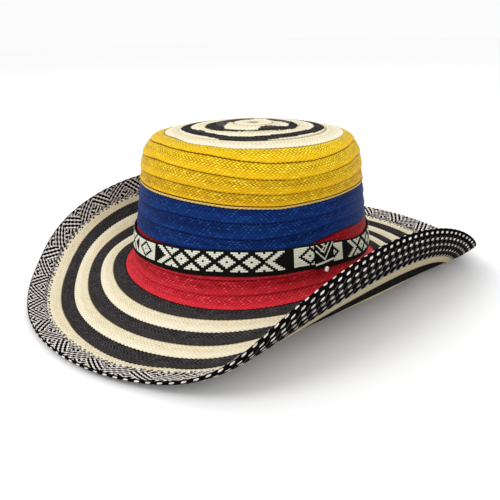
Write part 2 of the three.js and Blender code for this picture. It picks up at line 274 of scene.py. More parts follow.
    def point(self, angle: Array, place: Array) -> Array:
        """Point on the surface.

        Args:
            angle: Angles round the hat in radians.
            place: Distances up from the foot of the wall, of the same shape.

        Returns:
            Points in millimetres, with one more axis of length 3.
        """
        angle, place = np.broadcast_arrays(angle, place)
        table = self.table
        saddle = -self.brim_saddle * np.cos(2 * angle)
        inset = np.interp(place, table["length"], table["inset"])
        closing = np.interp(place, table["length"], table["closing"])
        height = np.interp(place, table["length"], table["height"])
        fade = np.clip(1 - place / (self.red_share * self.profile_length), 0, 1)
        x, y = self.oval(angle, inset)
        crown = np.stack((x * (1 - closing), y * (1 - closing), height + saddle * fade), axis=-1)
        turns = len(table["root"]) - 1
        root = np.interp(angle % TURN, np.arange(turns + 1) * TURN / turns, table["root"])
        share = np.clip(-place / self.flare_length, 0, 1)
        turn = self.wall_tilt + (math.pi / 2 + root - self.wall_tilt) * share
        distance = np.maximum(-place - self.flare_length, 0)
        on_brim = place < -self.flare_length
        flare_reach = self.flare_radius * (math.cos(self.wall_tilt) - np.cos(turn))
        flare_height = self.flare_radius * (1 - np.sin(turn))
        reach = np.where(on_brim, self._brim_grid("brim_reach", angle, distance), flare_reach)
        rise = np.where(on_brim, self._brim_grid("brim_height", angle, distance), flare_height)
        x, y = self.oval(angle, np.zeros_like(place))
        out_x, out_y = self.outward(angle)
        brim = np.stack((x + out_x * reach, y + out_y * reach, rise + saddle), axis=-1)
        return np.where((place < 0)[..., None], brim, crown)

    def lifted(self, angle: Array, place: Array, offset: Array) -> Array:
        """Point at an offset outwards or upwards from the surface, square to it.

        Args:
            angle: Angles round the hat in radians.
            place: Places on the surface.
            offset: Distances from the surface.

        Returns:
            Points in millimetres, with one more axis of length 3.
        """
        angle, place, offset = np.broadcast_arrays(angle, place, offset)
        swing, step = self.probe_swing, self.probe_step
        around = self.point(angle + swing, place) - self.point(angle - swing, place)
        along = self.point(angle, place + step) - self.point(angle, place - step)
        normal = np.cross(around, along)
        normal /= np.maximum(np.linalg.norm(normal, axis=-1, keepdims=True), TINY)
        return self.point(angle, place) + normal * offset[..., None]

    def rest_matrix(self) -> Matrix:
        """Turn and move, in metres, that lay the hat on its front and back lobes."""
        move = Matrix.Translation((0, self.rest_shift * MM, self.rest_lift * MM))
        return move @ Matrix.Rotation(-math.radians(self.rest_tip), 4, "X")

    def rested(self, points: Array) -> Array:
        """Points in millimetres, moved to where they rest, in metres."""
        turn = np.array(self.rest_matrix())
        return points * MM @ turn[:3, :3].T + turn[:3, 3]

    def even_angles(self, place: Callable[[Array], Array], count: int) -> tuple[Array, float]:
        """Angles that step evenly along a line round the hat.

        Args:
            place: Gives the line's place on the surface at each angle.
            count: Number of steps in a whole turn.

        Returns:
            The angles of the steps, with the first again at the end, and the line's length.
        """
        angle = np.arange(self.line_steps + 1) * TURN / self.line_steps
        points = self.point(angle, place(angle))
        length = np.concatenate(([0.0], np.cumsum(np.linalg.norm(np.diff(points, axis=0), axis=1))))
        steps = np.arange(count + 1) * length[-1] / count
        return np.interp(steps, length, angle), float(length[-1])


# Meshes

@dataclass
class Ring:
    """One closed band of points round the hat, with what its faces say to the finish."""

    points: Array
    weave_u: Array
    weave_v: Array
    length: float
    girth: float
    angles: Array | None = None
    places: Array | None = None


class MeshMaker:
    """Gathers rings and makes one mesh object of them."""

    def __init__(self, name: str) -> None:
        """Start with nothing.

        Args:
            name: The name of the piece.
        """
        self.name = name
        self.rings: list[Ring] = []
        self.figures: list[Array] = []

    def add(self, ring: Ring, figure: Array | None = None) -> None:
        """Take in a ring.

        Args:
            ring: The ring.
            figure: What each of its faces shows, or none for plain faces.
        """
        self.rings.append(ring)
        columns, across = ring.points.shape[:2]
        self.figures.append(np.zeros((columns, across)) if figure is None else figure)

    def build(self, gap: float = 0.04) -> bpy.types.Object:
        """Make the object.

        Args:
            gap: Share of each strip of the baking map that stays empty.

        Returns:
            The new object, linked to the scene, with its two maps.
        """
        side = math.sqrt(sum(r.length * r.girth for r in self.rings))
        strips = [max(1, round(r.length / side)) for r in self.rings]
        stack = sum(n * r.girth for n, r in zip(strips, self.rings))
        vertices, corners, weave, bake, figures = [], [], [], [], []
        start, base = 0, 0.0
        for ring, count, figure in zip(self.rings, strips, self.figures):
            columns, across = ring.points.shape[:2]
            i, j = np.meshgrid(np.arange(columns), np.arange(across), indexing="ij")
            next_i, next_j = (i + 1) % columns, (j + 1) % across
            loop = ((i, j), (i, next_j), (next_i, next_j), (next_i, j))
            index = np.stack([a * across + b for a, b in loop], axis=-1)
            corners.append(start + index.reshape(-1, 4))
            vertices.append(ring.points.reshape(-1, 3))
            steps = ((i, j), (i, j + 1), (i + 1, j + 1), (i + 1, j))
            weave.append(np.stack([np.stack((ring.weave_u[a, b % across], ring.weave_v[b]), -1)
                                   for a, b in steps], axis=2).reshape(-1, 4, 2))
            per_strip = math.ceil(columns / count)
            strip = i // per_strip
            flat = []
            for a, b in steps:
                x = (a - strip * per_strip) / per_strip * ring.length / count / side
                y = (base + ring.girth * (strip + gap / 2 + b / across * (1 - gap))) / stack
                flat.append(np.stack((x, y), -1))
            bake.append(np.stack(flat, axis=2).reshape(-1, 4, 2))
            figures.append(figure.reshape(-1))
            start += columns * across
            base += count * ring.girth
        bake_map = np.concatenate(bake)
        bake_map[..., 0] /= max(1.0, bake_map[..., 0].max())
        maps = {"OFBake": bake_map, "weave": np.concatenate(weave)}
        return self.mesh_object(np.concatenate(vertices), np.concatenate(corners), maps,
                                np.concatenate(figures))

    def mesh_object(self, vertices: Array, corners: Array, maps: dict[str, Array],
                    figures: Array) -> bpy.types.Object:
        """Fill a mesh with square faces and link its object.

        Args:
            vertices: Points in metres.
            corners: Numbers of the four points of each face.
            maps: Maps by name, with two values for each corner.
            figures: What each face shows.

        Returns:
            The new object.
        """
        mesh = bpy.data.meshes.new(self.name)
        mesh.vertices.add(len(vertices))
        mesh.vertices.foreach_set("co", vertices.astype(np.float32).ravel())
        mesh.loops.add(corners.size)
        mesh.loops.foreach_set("vertex_index", corners.astype(np.int32).ravel())
        mesh.polygons.add(len(corners))
        mesh.polygons.foreach_set("loop_start", np.arange(0, corners.size, 4, dtype=np.int32))
        mesh.polygons.foreach_set("use_smooth", np.full(len(corners), True))
        for name, values in maps.items():
            mesh.uv_layers.new(name=name).uv.foreach_set("vector", values.astype(np.float32).ravel())
        shown = mesh.attributes.new("figure", "FLOAT", "FACE")
        shown.data.foreach_set("value", figures.astype(np.float32))
        mesh.update(calc_edges=True)
        mesh.validate()
        piece = bpy.data.objects.new(self.name, mesh)
        bpy.context.scene.collection.objects.link(piece)
        return piece


# Shader maths

@dataclass
class Socket:
    """A value in a material's node tree, on which Python's operators add Math nodes."""

    tree: "NodeTree"
    link: Any

    def _maths(self, operation: str, first: Value, second: Value = 0.0) -> "Socket":
        """One Math node on two values."""
        return self.tree.node("ShaderNodeMath", {"operation": operation}, {0: first, 1: second})

    def __add__(self, other: Value) -> "Socket":
        """Sum."""
        return self._maths("ADD", self, other)

    __radd__ = __add__

    def __mul__(self, other: Value) -> "Socket":
        """Product."""
        return self._maths("MULTIPLY", self, other)

    __rmul__ = __mul__

    def __sub__(self, other: Value) -> "Socket":
        """Difference."""
        return self._maths("SUBTRACT", self, other)

    def __rsub__(self, other: Value) -> "Socket":
        """Difference from a number."""
        return self._maths("SUBTRACT", other, self)

    def __truediv__(self, other: Value) -> "Socket":
        """Quotient."""
        return self._maths("DIVIDE", self, other)

    def __mod__(self, other: Value) -> "Socket":
        """Remainder, never negative."""
        return self._maths("FLOORED_MODULO", self, other)

    def __pow__(self, other: Value) -> "Socket":
        """Power."""
        return self._maths("POWER", self, other)

    def __gt__(self, other: Value) -> "Socket":
        """1 where this is more."""
        return self._maths("GREATER_THAN", self, other)

    def __lt__(self, other: Value) -> "Socket":
        """1 where this is less."""
        return self._maths("LESS_THAN", self, other)

    def __abs__(self) -> "Socket":
        """Size without its sign."""
        return self._maths("ABSOLUTE", self)

    def floor(self) -> "Socket":
        """Whole part."""
        return self._maths("FLOOR", self)

    def sine(self) -> "Socket":
        """Sine of this angle."""
        return self._maths("SINE", self)

    def most(self, other: Value) -> "Socket":
        """The larger of two."""
        return self._maths("MAXIMUM", self, other)

    def least(self, other: Value) -> "Socket":
        """The smaller of two."""
        return self._maths("MINIMUM", self, other)

    def ramp(self, low: float, high: float) -> "Socket":
        """Smooth step.

        Args:
            low: Where it leaves 0.
            high: Where it reaches 1.

        Returns:
            The step's value.
        """
        return self.tree.node("ShaderNodeMapRange", {"interpolation_type": "SMOOTHSTEP"},
                              {"Value": self, "From Min": low, "From Max": high})


class NodeTree:
    """A material's nodes, added one at a time."""

    def __init__(self, name: str) -> None:
        """Start a material with nothing in it.

        Args:
            name: The name of the material.
        """
        self.material = bpy.data.materials.new(name)
        self.material.use_nodes = True
        self.nodes = self.material.node_tree.nodes
        self.links = self.material.node_tree.links
        self.nodes.clear()

    def node(self, kind: str, settings: dict[str, Any] | None = None,
             sockets: dict[Any, Any] | None = None, output: Any = 0) -> Socket:
        """Add a node.

        Args:
            kind: The node's type.
            settings: Its properties, set first.
            sockets: Values or links of its inputs, by name or number.
            output: Name or number of the output to give back.

        Returns:
            The output as a socket.
        """
        made = self.nodes.new(kind)
        for key, value in (settings or {}).items():
            setattr(made, key, value)
        for key, value in (sockets or {}).items():
            if isinstance(value, Socket):
                self.links.new(value.link, made.inputs[key])
            else:
                made.inputs[key].default_value = value
        return Socket(self, made.outputs[output])

    def mix(self, factor: Value, first: Any, second: Any) -> Socket:
        """Mix of two colours.

        Args:
            factor: Share of the second.
            first: The first colour.
            second: The second colour.

        Returns:
            The mixed colour.
        """
        colours = {6: self.solid(first), 7: self.solid(second)}
        settings = {"data_type": "RGBA", "clamp_factor": True}
        return self.node("ShaderNodeMix", settings, {0: factor, **colours}, 2)

    @staticmethod
    def solid(colour: Any) -> Any:
        """A colour as a socket takes it."""
        return colour if isinstance(colour, Socket) else (*colour, 1.0)

    def pair(self, x: Value, y: Value, z: Value = 0.0) -> Socket:
        """A vector of values."""
        return self.node("ShaderNodeCombineXYZ", {}, {0: x, 1: y, 2: z})

    def chance(self, x: Value, y: Value, z: Value = 0.0) -> Socket:
        """A random value from 0 to 1 for each vector."""
        return self.node("ShaderNodeTexWhiteNoise", {"noise_dimensions": "3D"},
                         {"Vector": self.pair(x, y, z)}, "Value")

    def cloud(self, x: Value, y: Value, z: Value = 0.0, detail: float = 2.0) -> Socket:
        """Soft noise from 0 to 1."""
        sockets = {"Vector": self.pair(x, y, z), "Scale": 1.0, "Detail": detail}
        return self.node("ShaderNodeTexNoise", {}, sockets)

    def map(self, name: str = "weave") -> tuple[Socket, Socket]:
        """Read a map of the mesh.

        Args:
            name: The map's name.

        Returns:
            Its two coordinates.
        """
        vector = self.node("ShaderNodeUVMap", {"uv_map": name})
        x = self.node("ShaderNodeSeparateXYZ", {}, {0: vector}, 0)
        y = self.node("ShaderNodeSeparateXYZ", {}, {0: vector}, 1)
        return x, y

    def figure(self) -> Socket:
        """What the face shows: plain straw, a seam painted with shade, or a mark."""
        return self.node("ShaderNodeAttribute", {"attribute_name": "figure"}, {}, "Fac")

    def finish(self, sockets: dict[str, Any], height: Socket | None = None,
               depth: float = 0.0003) -> bpy.types.Material:
        """Close the tree with one Principled shader.

        Args:
            sockets: Values or links of the shader's inputs.
            height: Relief from 0 to 1, if there is any.
            depth: What a height of 1 stands for, in metres.

        Returns:
            The material.
        """
        if height is not None:
            bump = self.node("ShaderNodeBump", {}, {"Strength": 1.0, "Distance": depth,
                                                    "Height": height})
            sockets = {**sockets, "Normal": bump}
        shader = self.node("ShaderNodeBsdfPrincipled", {}, sockets)
        out = self.nodes.new("ShaderNodeOutputMaterial")
        self.links.new(shader.link, out.inputs["Surface"])
        return self.material


# Finishes

Colour = tuple[float, float, float]
ROW_STRIDE = 20.0
# Figure of a seam painted with the shadow colour.
SHADED_SEAM_FIGURE = 0.5
MARK_FIGURE = 1.0


@dataclass(frozen=True)
class Plait:
    """Scales, ranges and shares that every straw's plait has in common.

    A scale is in noise steps for each float, lane or row. A range is where a smooth step begins
    and ends, and a depth is the least of a random value and how much chance adds to it.
    """

    lanes: int = 7
    slant: float = 0.8
    scatter: float = 0.5
    fibre_scale: tuple[float, float] = (2.5, 9.0)
    patch_scale: tuple[float, float, float] = (0.05, 3.0, 0.15)
    streak_and_highlight_scale: tuple[float, float, float] = (0.03, 5.0, 7.0)
    blot_scale: tuple[float, float, float, float] = (0.13, 3.0, 0.3, 0.4)
    blot_detail: float = 4.0
    blot_range: tuple[float, float] = (0.5, 0.72)
    hem_range: tuple[float, float] = (0.55, 0.85)
    hem_end: float = 0.7
    hem_calm: float = 0.55
    # Where on a float the spots sit: painted glints, and yellow flecks on cream.
    fleck_and_glint_cut: tuple[float, float] = (0.1, 0.6)
    fleck_and_glint_side: tuple[float, float] = (0.3, 0.8)
    cut_range: tuple[float, float] = (0.2, 0.8)
    cut_depth: tuple[float, float] = (0.45, 0.7)
    side_range: tuple[float, float] = (0.65, 1.05)
    side_depth: tuple[float, float] = (0.3, 0.6)
    ragged_scale: tuple[float, float] = (1.3, 5.0)
    ragged: float = 0.5
    under_range: tuple[float, float] = (1.3, 1.75)
    # How much of the painted gap shade the marks show.
    mark_gap_shade: float = 0.4
    # Where the painted shade on a row's back begins, past its last lane, and how strong it is.
    back_shade_start: float = 0.6
    back_shade_strength: float = 0.8
    side_fall: float = 0.7
    cut_seed: float = 0.5
    side_seed: float = 3.0
    roundness: float = 3.0
    relief: tuple[float, float] = (0.8, 0.2)
    gloss_scatter: float = 0.16
    bump_depth: float = 0.00035


@dataclass(frozen=True)
class StrawFinish:
    """Plaited cane in one dye: floats in herringbone lanes, with painted shade in the dark gaps between them.
    """

    name: str
    light: Colour
    dark: Colour
    # Colour of the painted shade in the gaps between the floats.
    gap: Colour
    shadow: Colour
    hem: Colour
    # Spots in the middles of some floats: painted glints, except on cream, where they are yellow flecks.
    fleck_and_glint: Colour
    # Colour of the painted shade on the back of each row, under the brim and inside the crown.
    back: Colour
    blush: Colour
    other: Colour = (0.0, 0.0, 0.0)
    # Colour of the painted shade in the gaps of a mark's floats.
    other_gap_shade: Colour = (0.0, 0.0, 0.0)
    first_tone: float = 0.5
    row_tone: float = 0.0
    blush_strength: float = 0.5
    fleck_and_glint_share: float = 0.25
    fleck_and_glint_strength: float = 0.35
    # Strength of the painted shade in the gaps between the floats.
    contrast: float = 0.75
    hem_strength: float = 0.6
    # Streaks along the lanes: uneven tone, turned up on blue and red as painted lane highlights.
    streaks_and_highlights: float = 0.4
    shadow_strength: float = 0.9
    roughness: float = 0.42
    specular: float = 0.05
    plait: Plait = Plait()

    def make(self) -> bpy.types.Material:
        """Build the material.

        Returns:
            The material, named after the slot.
        """
        plait = self.plait
        tree = NodeTree(self.name)
        u, v = tree.map()
        figure = tree.figure()
        row = (v / ROW_STRIDE).floor()
        place = v - row * ROW_STRIDE
        lane = place.floor()
        across = place - lane
        odd = lane % 2.0
        slanted = u + odd * 0.5 + (across - 0.5) * (1.0 - odd * 2.0) * plait.slant
        cell = slanted.floor()
        cut = abs((slanted - cell) * 2.0 - 1.0)
        side = abs(across * 2.0 - 1.0)
        luck = tree.chance(cell, lane, row)
        fibre = tree.cloud(slanted * plait.fibre_scale[0], place * plait.fibre_scale[1], row)
        start, end = plait.hem_range
        hem = place.ramp(plait.lanes * start, plait.lanes * end) * (place < plait.lanes + plait.hem_end)
        colour = self._dyed_with_lane_highlights(tree, (u, place, lane, row), luck, fibre)
        colour = tree.mix(hem * self.hem_strength, colour, self.hem)
        # Spots in the middles of some floats: painted glints, except on cream, where they are yellow flecks
        # in the straw.
        fleck_and_glint_spot = (luck > 1.0 - self.fleck_and_glint_share) * (1.0 - cut.ramp(*plait.fleck_and_glint_cut))
        fleck_and_glint_spot = fleck_and_glint_spot * (1.0 - side.ramp(*plait.fleck_and_glint_side))
        colour = tree.mix(fleck_and_glint_spot * self.fleck_and_glint_strength, colour, self.fleck_and_glint)
        # Dark lines at the ends and sides of each float: painted shade in the gaps between floats.
        least, more = plait.cut_depth
        cut_line = cut.ramp(*plait.cut_range) * (tree.chance(cell, lane, row + plait.cut_seed) * more + least)
        least, more = plait.side_depth
        side_line = side.ramp(*plait.side_range) * (tree.chance(lane, row, plait.side_seed) * more + least)
        gap_shade = cut_line.most(side_line).least(1.0)
        colour = tree.mix(gap_shade * self.contrast * (1.0 - hem * plait.hem_calm), colour, self.gap)
        ragged = (tree.cloud(u * plait.ragged_scale[0], row * plait.ragged_scale[1]) - 0.5) * plait.ragged
        under = (1.0 - (place + ragged).ramp(*plait.under_range)) * self.shadow_strength
        colour = tree.mix(under, colour, self.shadow)
        mark = figure > (SHADED_SEAM_FIGURE + MARK_FIGURE) / 2
        # Marks in the other dye, with painted shade in their gaps.
        colour = tree.mix(mark, colour, tree.mix(gap_shade * plait.mark_gap_shade, self.other, self.other_gap_shade))
        # A seam face is painted with the shadow colour.
        colour = tree.mix((figure > SHADED_SEAM_FIGURE / 2) * (1.0 - mark), colour, self.shadow)
        # Painted shade over the far side of the row's lower edge and over its back.
        back_shade = (place > plait.lanes + plait.back_shade_start) * plait.back_shade_strength
        colour = tree.mix(back_shade, colour, self.back)
        mound, thread = plait.relief
        height = 1.0 - side ** plait.roundness * plait.side_fall
        height = (1.0 - cut ** plait.roundness) * height * mound + fibre * thread
        return tree.finish({
            "Base Color": colour,
            "Roughness": luck * plait.gloss_scatter + self.roughness,
            "Specular IOR Level": self.specular,
        }, height, plait.bump_depth)

    def _dyed_with_lane_highlights(self, tree: NodeTree, where: tuple[Socket, ...], luck: Socket, fibre: Socket) -> Socket:
        """Uneven dye of the straw, with streaks along the lanes that on blue and red are painted highlights,
        before its plait is drawn on it.

        Args:
            tree: The material's nodes.
            where: Place along the row, place across it, lane and row.
            luck: Random value of the float.
            fibre: Noise along the float.

        Returns:
            The colour.
        """
        plait = self.plait
        u, place, lane, row = where
        by_length, by_row, by_place = plait.patch_scale
        patch = tree.cloud(u * by_length, row * by_row, place * by_place)
        by_length, by_lane, by_row = plait.streak_and_highlight_scale
        # Streaks along the lanes: uneven tone, and on blue and red painted lane highlights.
        streak_and_highlight = tree.cloud(u * by_length, lane * by_lane, row * by_row)
        tone = luck * plait.scatter + fibre * plait.scatter + patch * plait.scatter
        middle = (3 * plait.scatter + self.streaks_and_highlights) / 2
        tone = tone + streak_and_highlight * self.streaks_and_highlights + row * self.row_tone + (self.first_tone - middle)
        colour = tree.mix(tone.least(1.0).most(0.0), self.dark, self.light)
        by_length, by_row, by_place, by_lane = plait.blot_scale
        blot = tree.cloud(u * by_length, row * by_row + place * by_place, lane * by_lane, plait.blot_detail)
        return tree.mix(blot.ramp(*plait.blot_range) * self.blush_strength, colour, self.blush)


class Dye(Enum):
    """The straws of the hat."""

    CREAM = StrawFinish(
        name="cream_straw", light=(1.0, 0.94, 0.78), dark=(0.84, 0.74, 0.50), gap=(0.50, 0.42, 0.16),
        shadow=(0.16, 0.10, 0.05), hem=(0.97, 0.91, 0.74), fleck_and_glint=(0.88, 0.76, 0.32),
        back=(0.30, 0.235, 0.14), blush=(0.95, 0.74, 0.54), other=(0.036, 0.034, 0.035),
        other_gap_shade=(0.004, 0.004, 0.004), contrast=0.6, shadow_strength=0.6, fleck_and_glint_strength=0.7)
    BLACK = StrawFinish(
        name="black_straw", light=(0.098, 0.090, 0.092), dark=(0.032, 0.030, 0.031),
        gap=(0.001, 0.001, 0.001), shadow=(0.016, 0.008, 0.004), hem=(0.044, 0.036, 0.032),
        fleck_and_glint=(0.16, 0.155, 0.16), back=(0.003, 0.003, 0.003), blush=(0.030, 0.032, 0.044),
        other=(0.94, 0.86, 0.66), other_gap_shade=(0.50, 0.42, 0.16), specular=0.0, contrast=0.9,
        fleck_and_glint_share=0.08)
    YELLOW = StrawFinish(
        name="yellow_straw", light=(1.0, 0.72, 0.018), dark=(0.60, 0.31, 0.008),
        gap=(0.24, 0.11, 0.004), shadow=(0.12, 0.04, 0.001), hem=(0.88, 0.49, 0.006),
        fleck_and_glint=(1.0, 0.85, 0.12), back=(0.55, 0.34, 0.02), blush=(0.84, 0.48, 0.006),
        other=(0.76, 0.55, 0.17), other_gap_shade=(0.30, 0.20, 0.05), first_tone=0.95, row_tone=-0.2,
        contrast=0.85, fleck_and_glint_strength=0.5)
    BLUE = StrawFinish(
        name="blue_straw", light=(0.008, 0.050, 0.24), dark=(0.002, 0.010, 0.075),
        gap=(0.001, 0.003, 0.025), shadow=(0.001, 0.002, 0.008), hem=(0.005, 0.030, 0.16),
        fleck_and_glint=(0.04, 0.16, 0.46), back=(0.004, 0.02, 0.12), blush=(0.003, 0.018, 0.12),
        contrast=0.8, streaks_and_highlights=2.0, specular=0.04, fleck_and_glint_share=0.3, fleck_and_glint_strength=0.3)
    # Red lightens row by row from the top row down to the flare, where the lightness is a painted highlight.
    RED = StrawFinish(
        name="red_straw", light=(0.82, 0.036, 0.055), dark=(0.34, 0.003, 0.009),
        gap=(0.12, 0.001, 0.004), shadow=(0.05, 0.001, 0.002), hem=(0.78, 0.035, 0.055),
        fleck_and_glint=(0.95, 0.26, 0.27), back=(0.25, 0.004, 0.012), blush=(0.50, 0.006, 0.016),
        first_tone=-0.5, row_tone=0.48, streaks_and_highlights=1.4, fleck_and_glint_strength=0.2)


def dress(piece: bpy.types.Object, finish: Any, node: str) -> bpy.types.Object:
    """Give a piece its finish and put it in place of its solid.

    Args:
        piece: The new object.
        finish: What makes its material, with the slot's name.
        node: The solid's node.

    Returns:
        The same object.
    """
    piece.data.materials.append(finish.make())
    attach(piece, "root")
    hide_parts(node)
    LOG.info("%s: %d faces", piece.name, len(piece.data.polygons))
    return piece


# Braid

@dataclass(frozen=True)
class Edge:
    """A line round the hat between two rows: its place, and how it wanders with the angle."""

    place: float
    wander: tuple[tuple[float, float], ...] = ()

    def at(self, angle: Array) -> Array:
        """Place of the line.

        Args:
            angle: Angles round the hat in radians.

        Returns:
            The place at each angle, in millimetres.
        """
        if not self.wander:
            return np.full_like(angle, self.place)
        degrees, shift = zip(*self.wander)
        return self.place + np.interp(np.degrees(angle), degrees, shift, period=360)


@dataclass(frozen=True)
class Braid:
    """How a row of braid is plaited and how it laps over the next, in millimetres."""

    float_length: float = 3.0
    least_floats: int = 8
    lanes: int = 7
    relief: float = 0.14
    over: float = 1.0
    under: float = -0.2
    between: float = -0.7
    thickness: float = 1.1
    tuck: float = 1.5
    rise: float = 0.7
    sink: float = 0.4
    scallop: float = 0.12
    edge_turns: tuple[float, ...] = (45.0, 90.0, 135.0)
    edge_lanes: tuple[float, ...] = (0.3, 0.5, 0.7)

    def ring(self, form: HatForm, upper: Edge, lower: Edge, row: int) -> Ring:
        """One row round the hat.

        Args:
            form: The hat's surface.
            upper: Edge towards the crown's centre, which the row before covers.
            lower: Edge towards the rim, which stands over the row after.
            row: Number of the row, which keeps its random values apart.

        Returns:
            The row as a closed ring.
        """
        def middle(angle: Array) -> Array:
            """Place of the row's middle."""
            return (upper.at(angle) + lower.at(angle)) / 2

        length = form.even_angles(middle, QUARTERS)[1]
        columns = 2 * max(self.least_floats, round(length / self.float_length))
        angles = form.even_angles(middle, columns)[0]
        angle = angles[:-1, None]
        top, low = upper.at(angle) + self.tuck, lower.at(angle)
        places, offsets = self._section(top, low)
        points = form.rested(form.lifted(angle, places, offsets))
        lanes = self.lanes
        across = np.concatenate((np.arange(2 * lanes + 1) / 2, lanes + np.array(self.edge_lanes),
                                 lanes + 1 + np.arange(lanes + 2)))
        u = np.broadcast_to(np.arange(columns + 1)[:, None] / 2.0, (columns + 1, points.shape[1]))
        girth = 2 * float(np.mean(top - low)) + 2 * self.thickness
        middle_angles = (angles[:-1] + angles[1:])[:, None] / 2
        middle_places = (places + np.roll(places, -1, axis=1)) / 2
        return Ring(points, u, across + row * ROW_STRIDE, length, girth,
                    np.broadcast_to(middle_angles, middle_places.shape), middle_places)

    def _section(self, top: Array, low: Array) -> tuple[Array, Array]:
        """Section of the row: its plaited face, its round lower edge and its back.

        Args:
            top: Place of the upper edge, a row for each column of the ring.
            low: Place of the lower edge.

        Returns:
            Places on the hat's surface and distances from it.
        """
        phase = (np.arange(len(top)) % 2)[:, None]
        level = np.zeros_like(top)
        steps = np.arange(2 * self.lanes + 1)[None, :]
        share = steps / (2 * self.lanes)
        crossing = np.where((steps // 2 + phase) % 2 == 0, self.over, self.under)
        crest = np.where(steps % 2 == 1, crossing, self.between)
        face = self._face(share) + crest * self.relief
        scallop = np.where(phase == 0, self.scallop, -self.scallop)
        turn = np.radians(self.edge_turns)[None, :]
        half = self.thickness / 2
        edge = self._face(1.0) - half + half * np.cos(turn) + level
        back_share = share[:, ::-2]
        back = self._face(back_share) - self.thickness + level
        places = np.hstack((top + (low - top) * share, low - scallop - half * np.sin(turn),
                            top + (low - top) * back_share))
        return places, np.hstack((face, edge, back))

    def _face(self, share: Any) -> Any:
        """Height of the row's face above the hat's surface, from its upper to its lower edge."""
        return -self.sink + (self.rise + self.sink) * share


@dataclass
class StrawRows:
    """One coloured run of rows, which stands for one solid of the hat."""

    node: str
    dye: Dye
    edges: tuple[Edge, ...]
    braid: Braid
    marks: Callable[[Array, Array], Array] | None = None
    welt: bool = False

    def build(self, form: HatForm) -> bpy.types.Object:
        """Make the rows, from the crown's centre outwards, and dress them.

        Args:
            form: The hat's surface.

        Returns:
            The new object.
        """
        maker = MeshMaker(f"{self.node}_braid")
        for row, (upper, lower) in enumerate(zip(self.edges, self.edges[1:])):
            ring = self.braid.ring(form, upper, lower, row)
            figure = np.zeros(ring.points.shape[:2])
            if self.marks:
                figure = self.marks(ring.angles, ring.places).astype(float)
            if self.welt and row == len(self.edges) - 2:
                end = 2 * self.braid.lanes
                # The face above the welt is a seam painted with shade.
                figure[:, end - 2] = SHADED_SEAM_FIGURE
                figure[:, end - 1:end + 2] = MARK_FIGURE
            maker.add(ring, figure)
        return dress(maker.build(), self.dye.value, self.node)


# Trim

def whole(value: Any) -> Any:
    """Whole part of a socket or an array."""
    return value.floor() if isinstance(value, Socket) else np.floor(value)


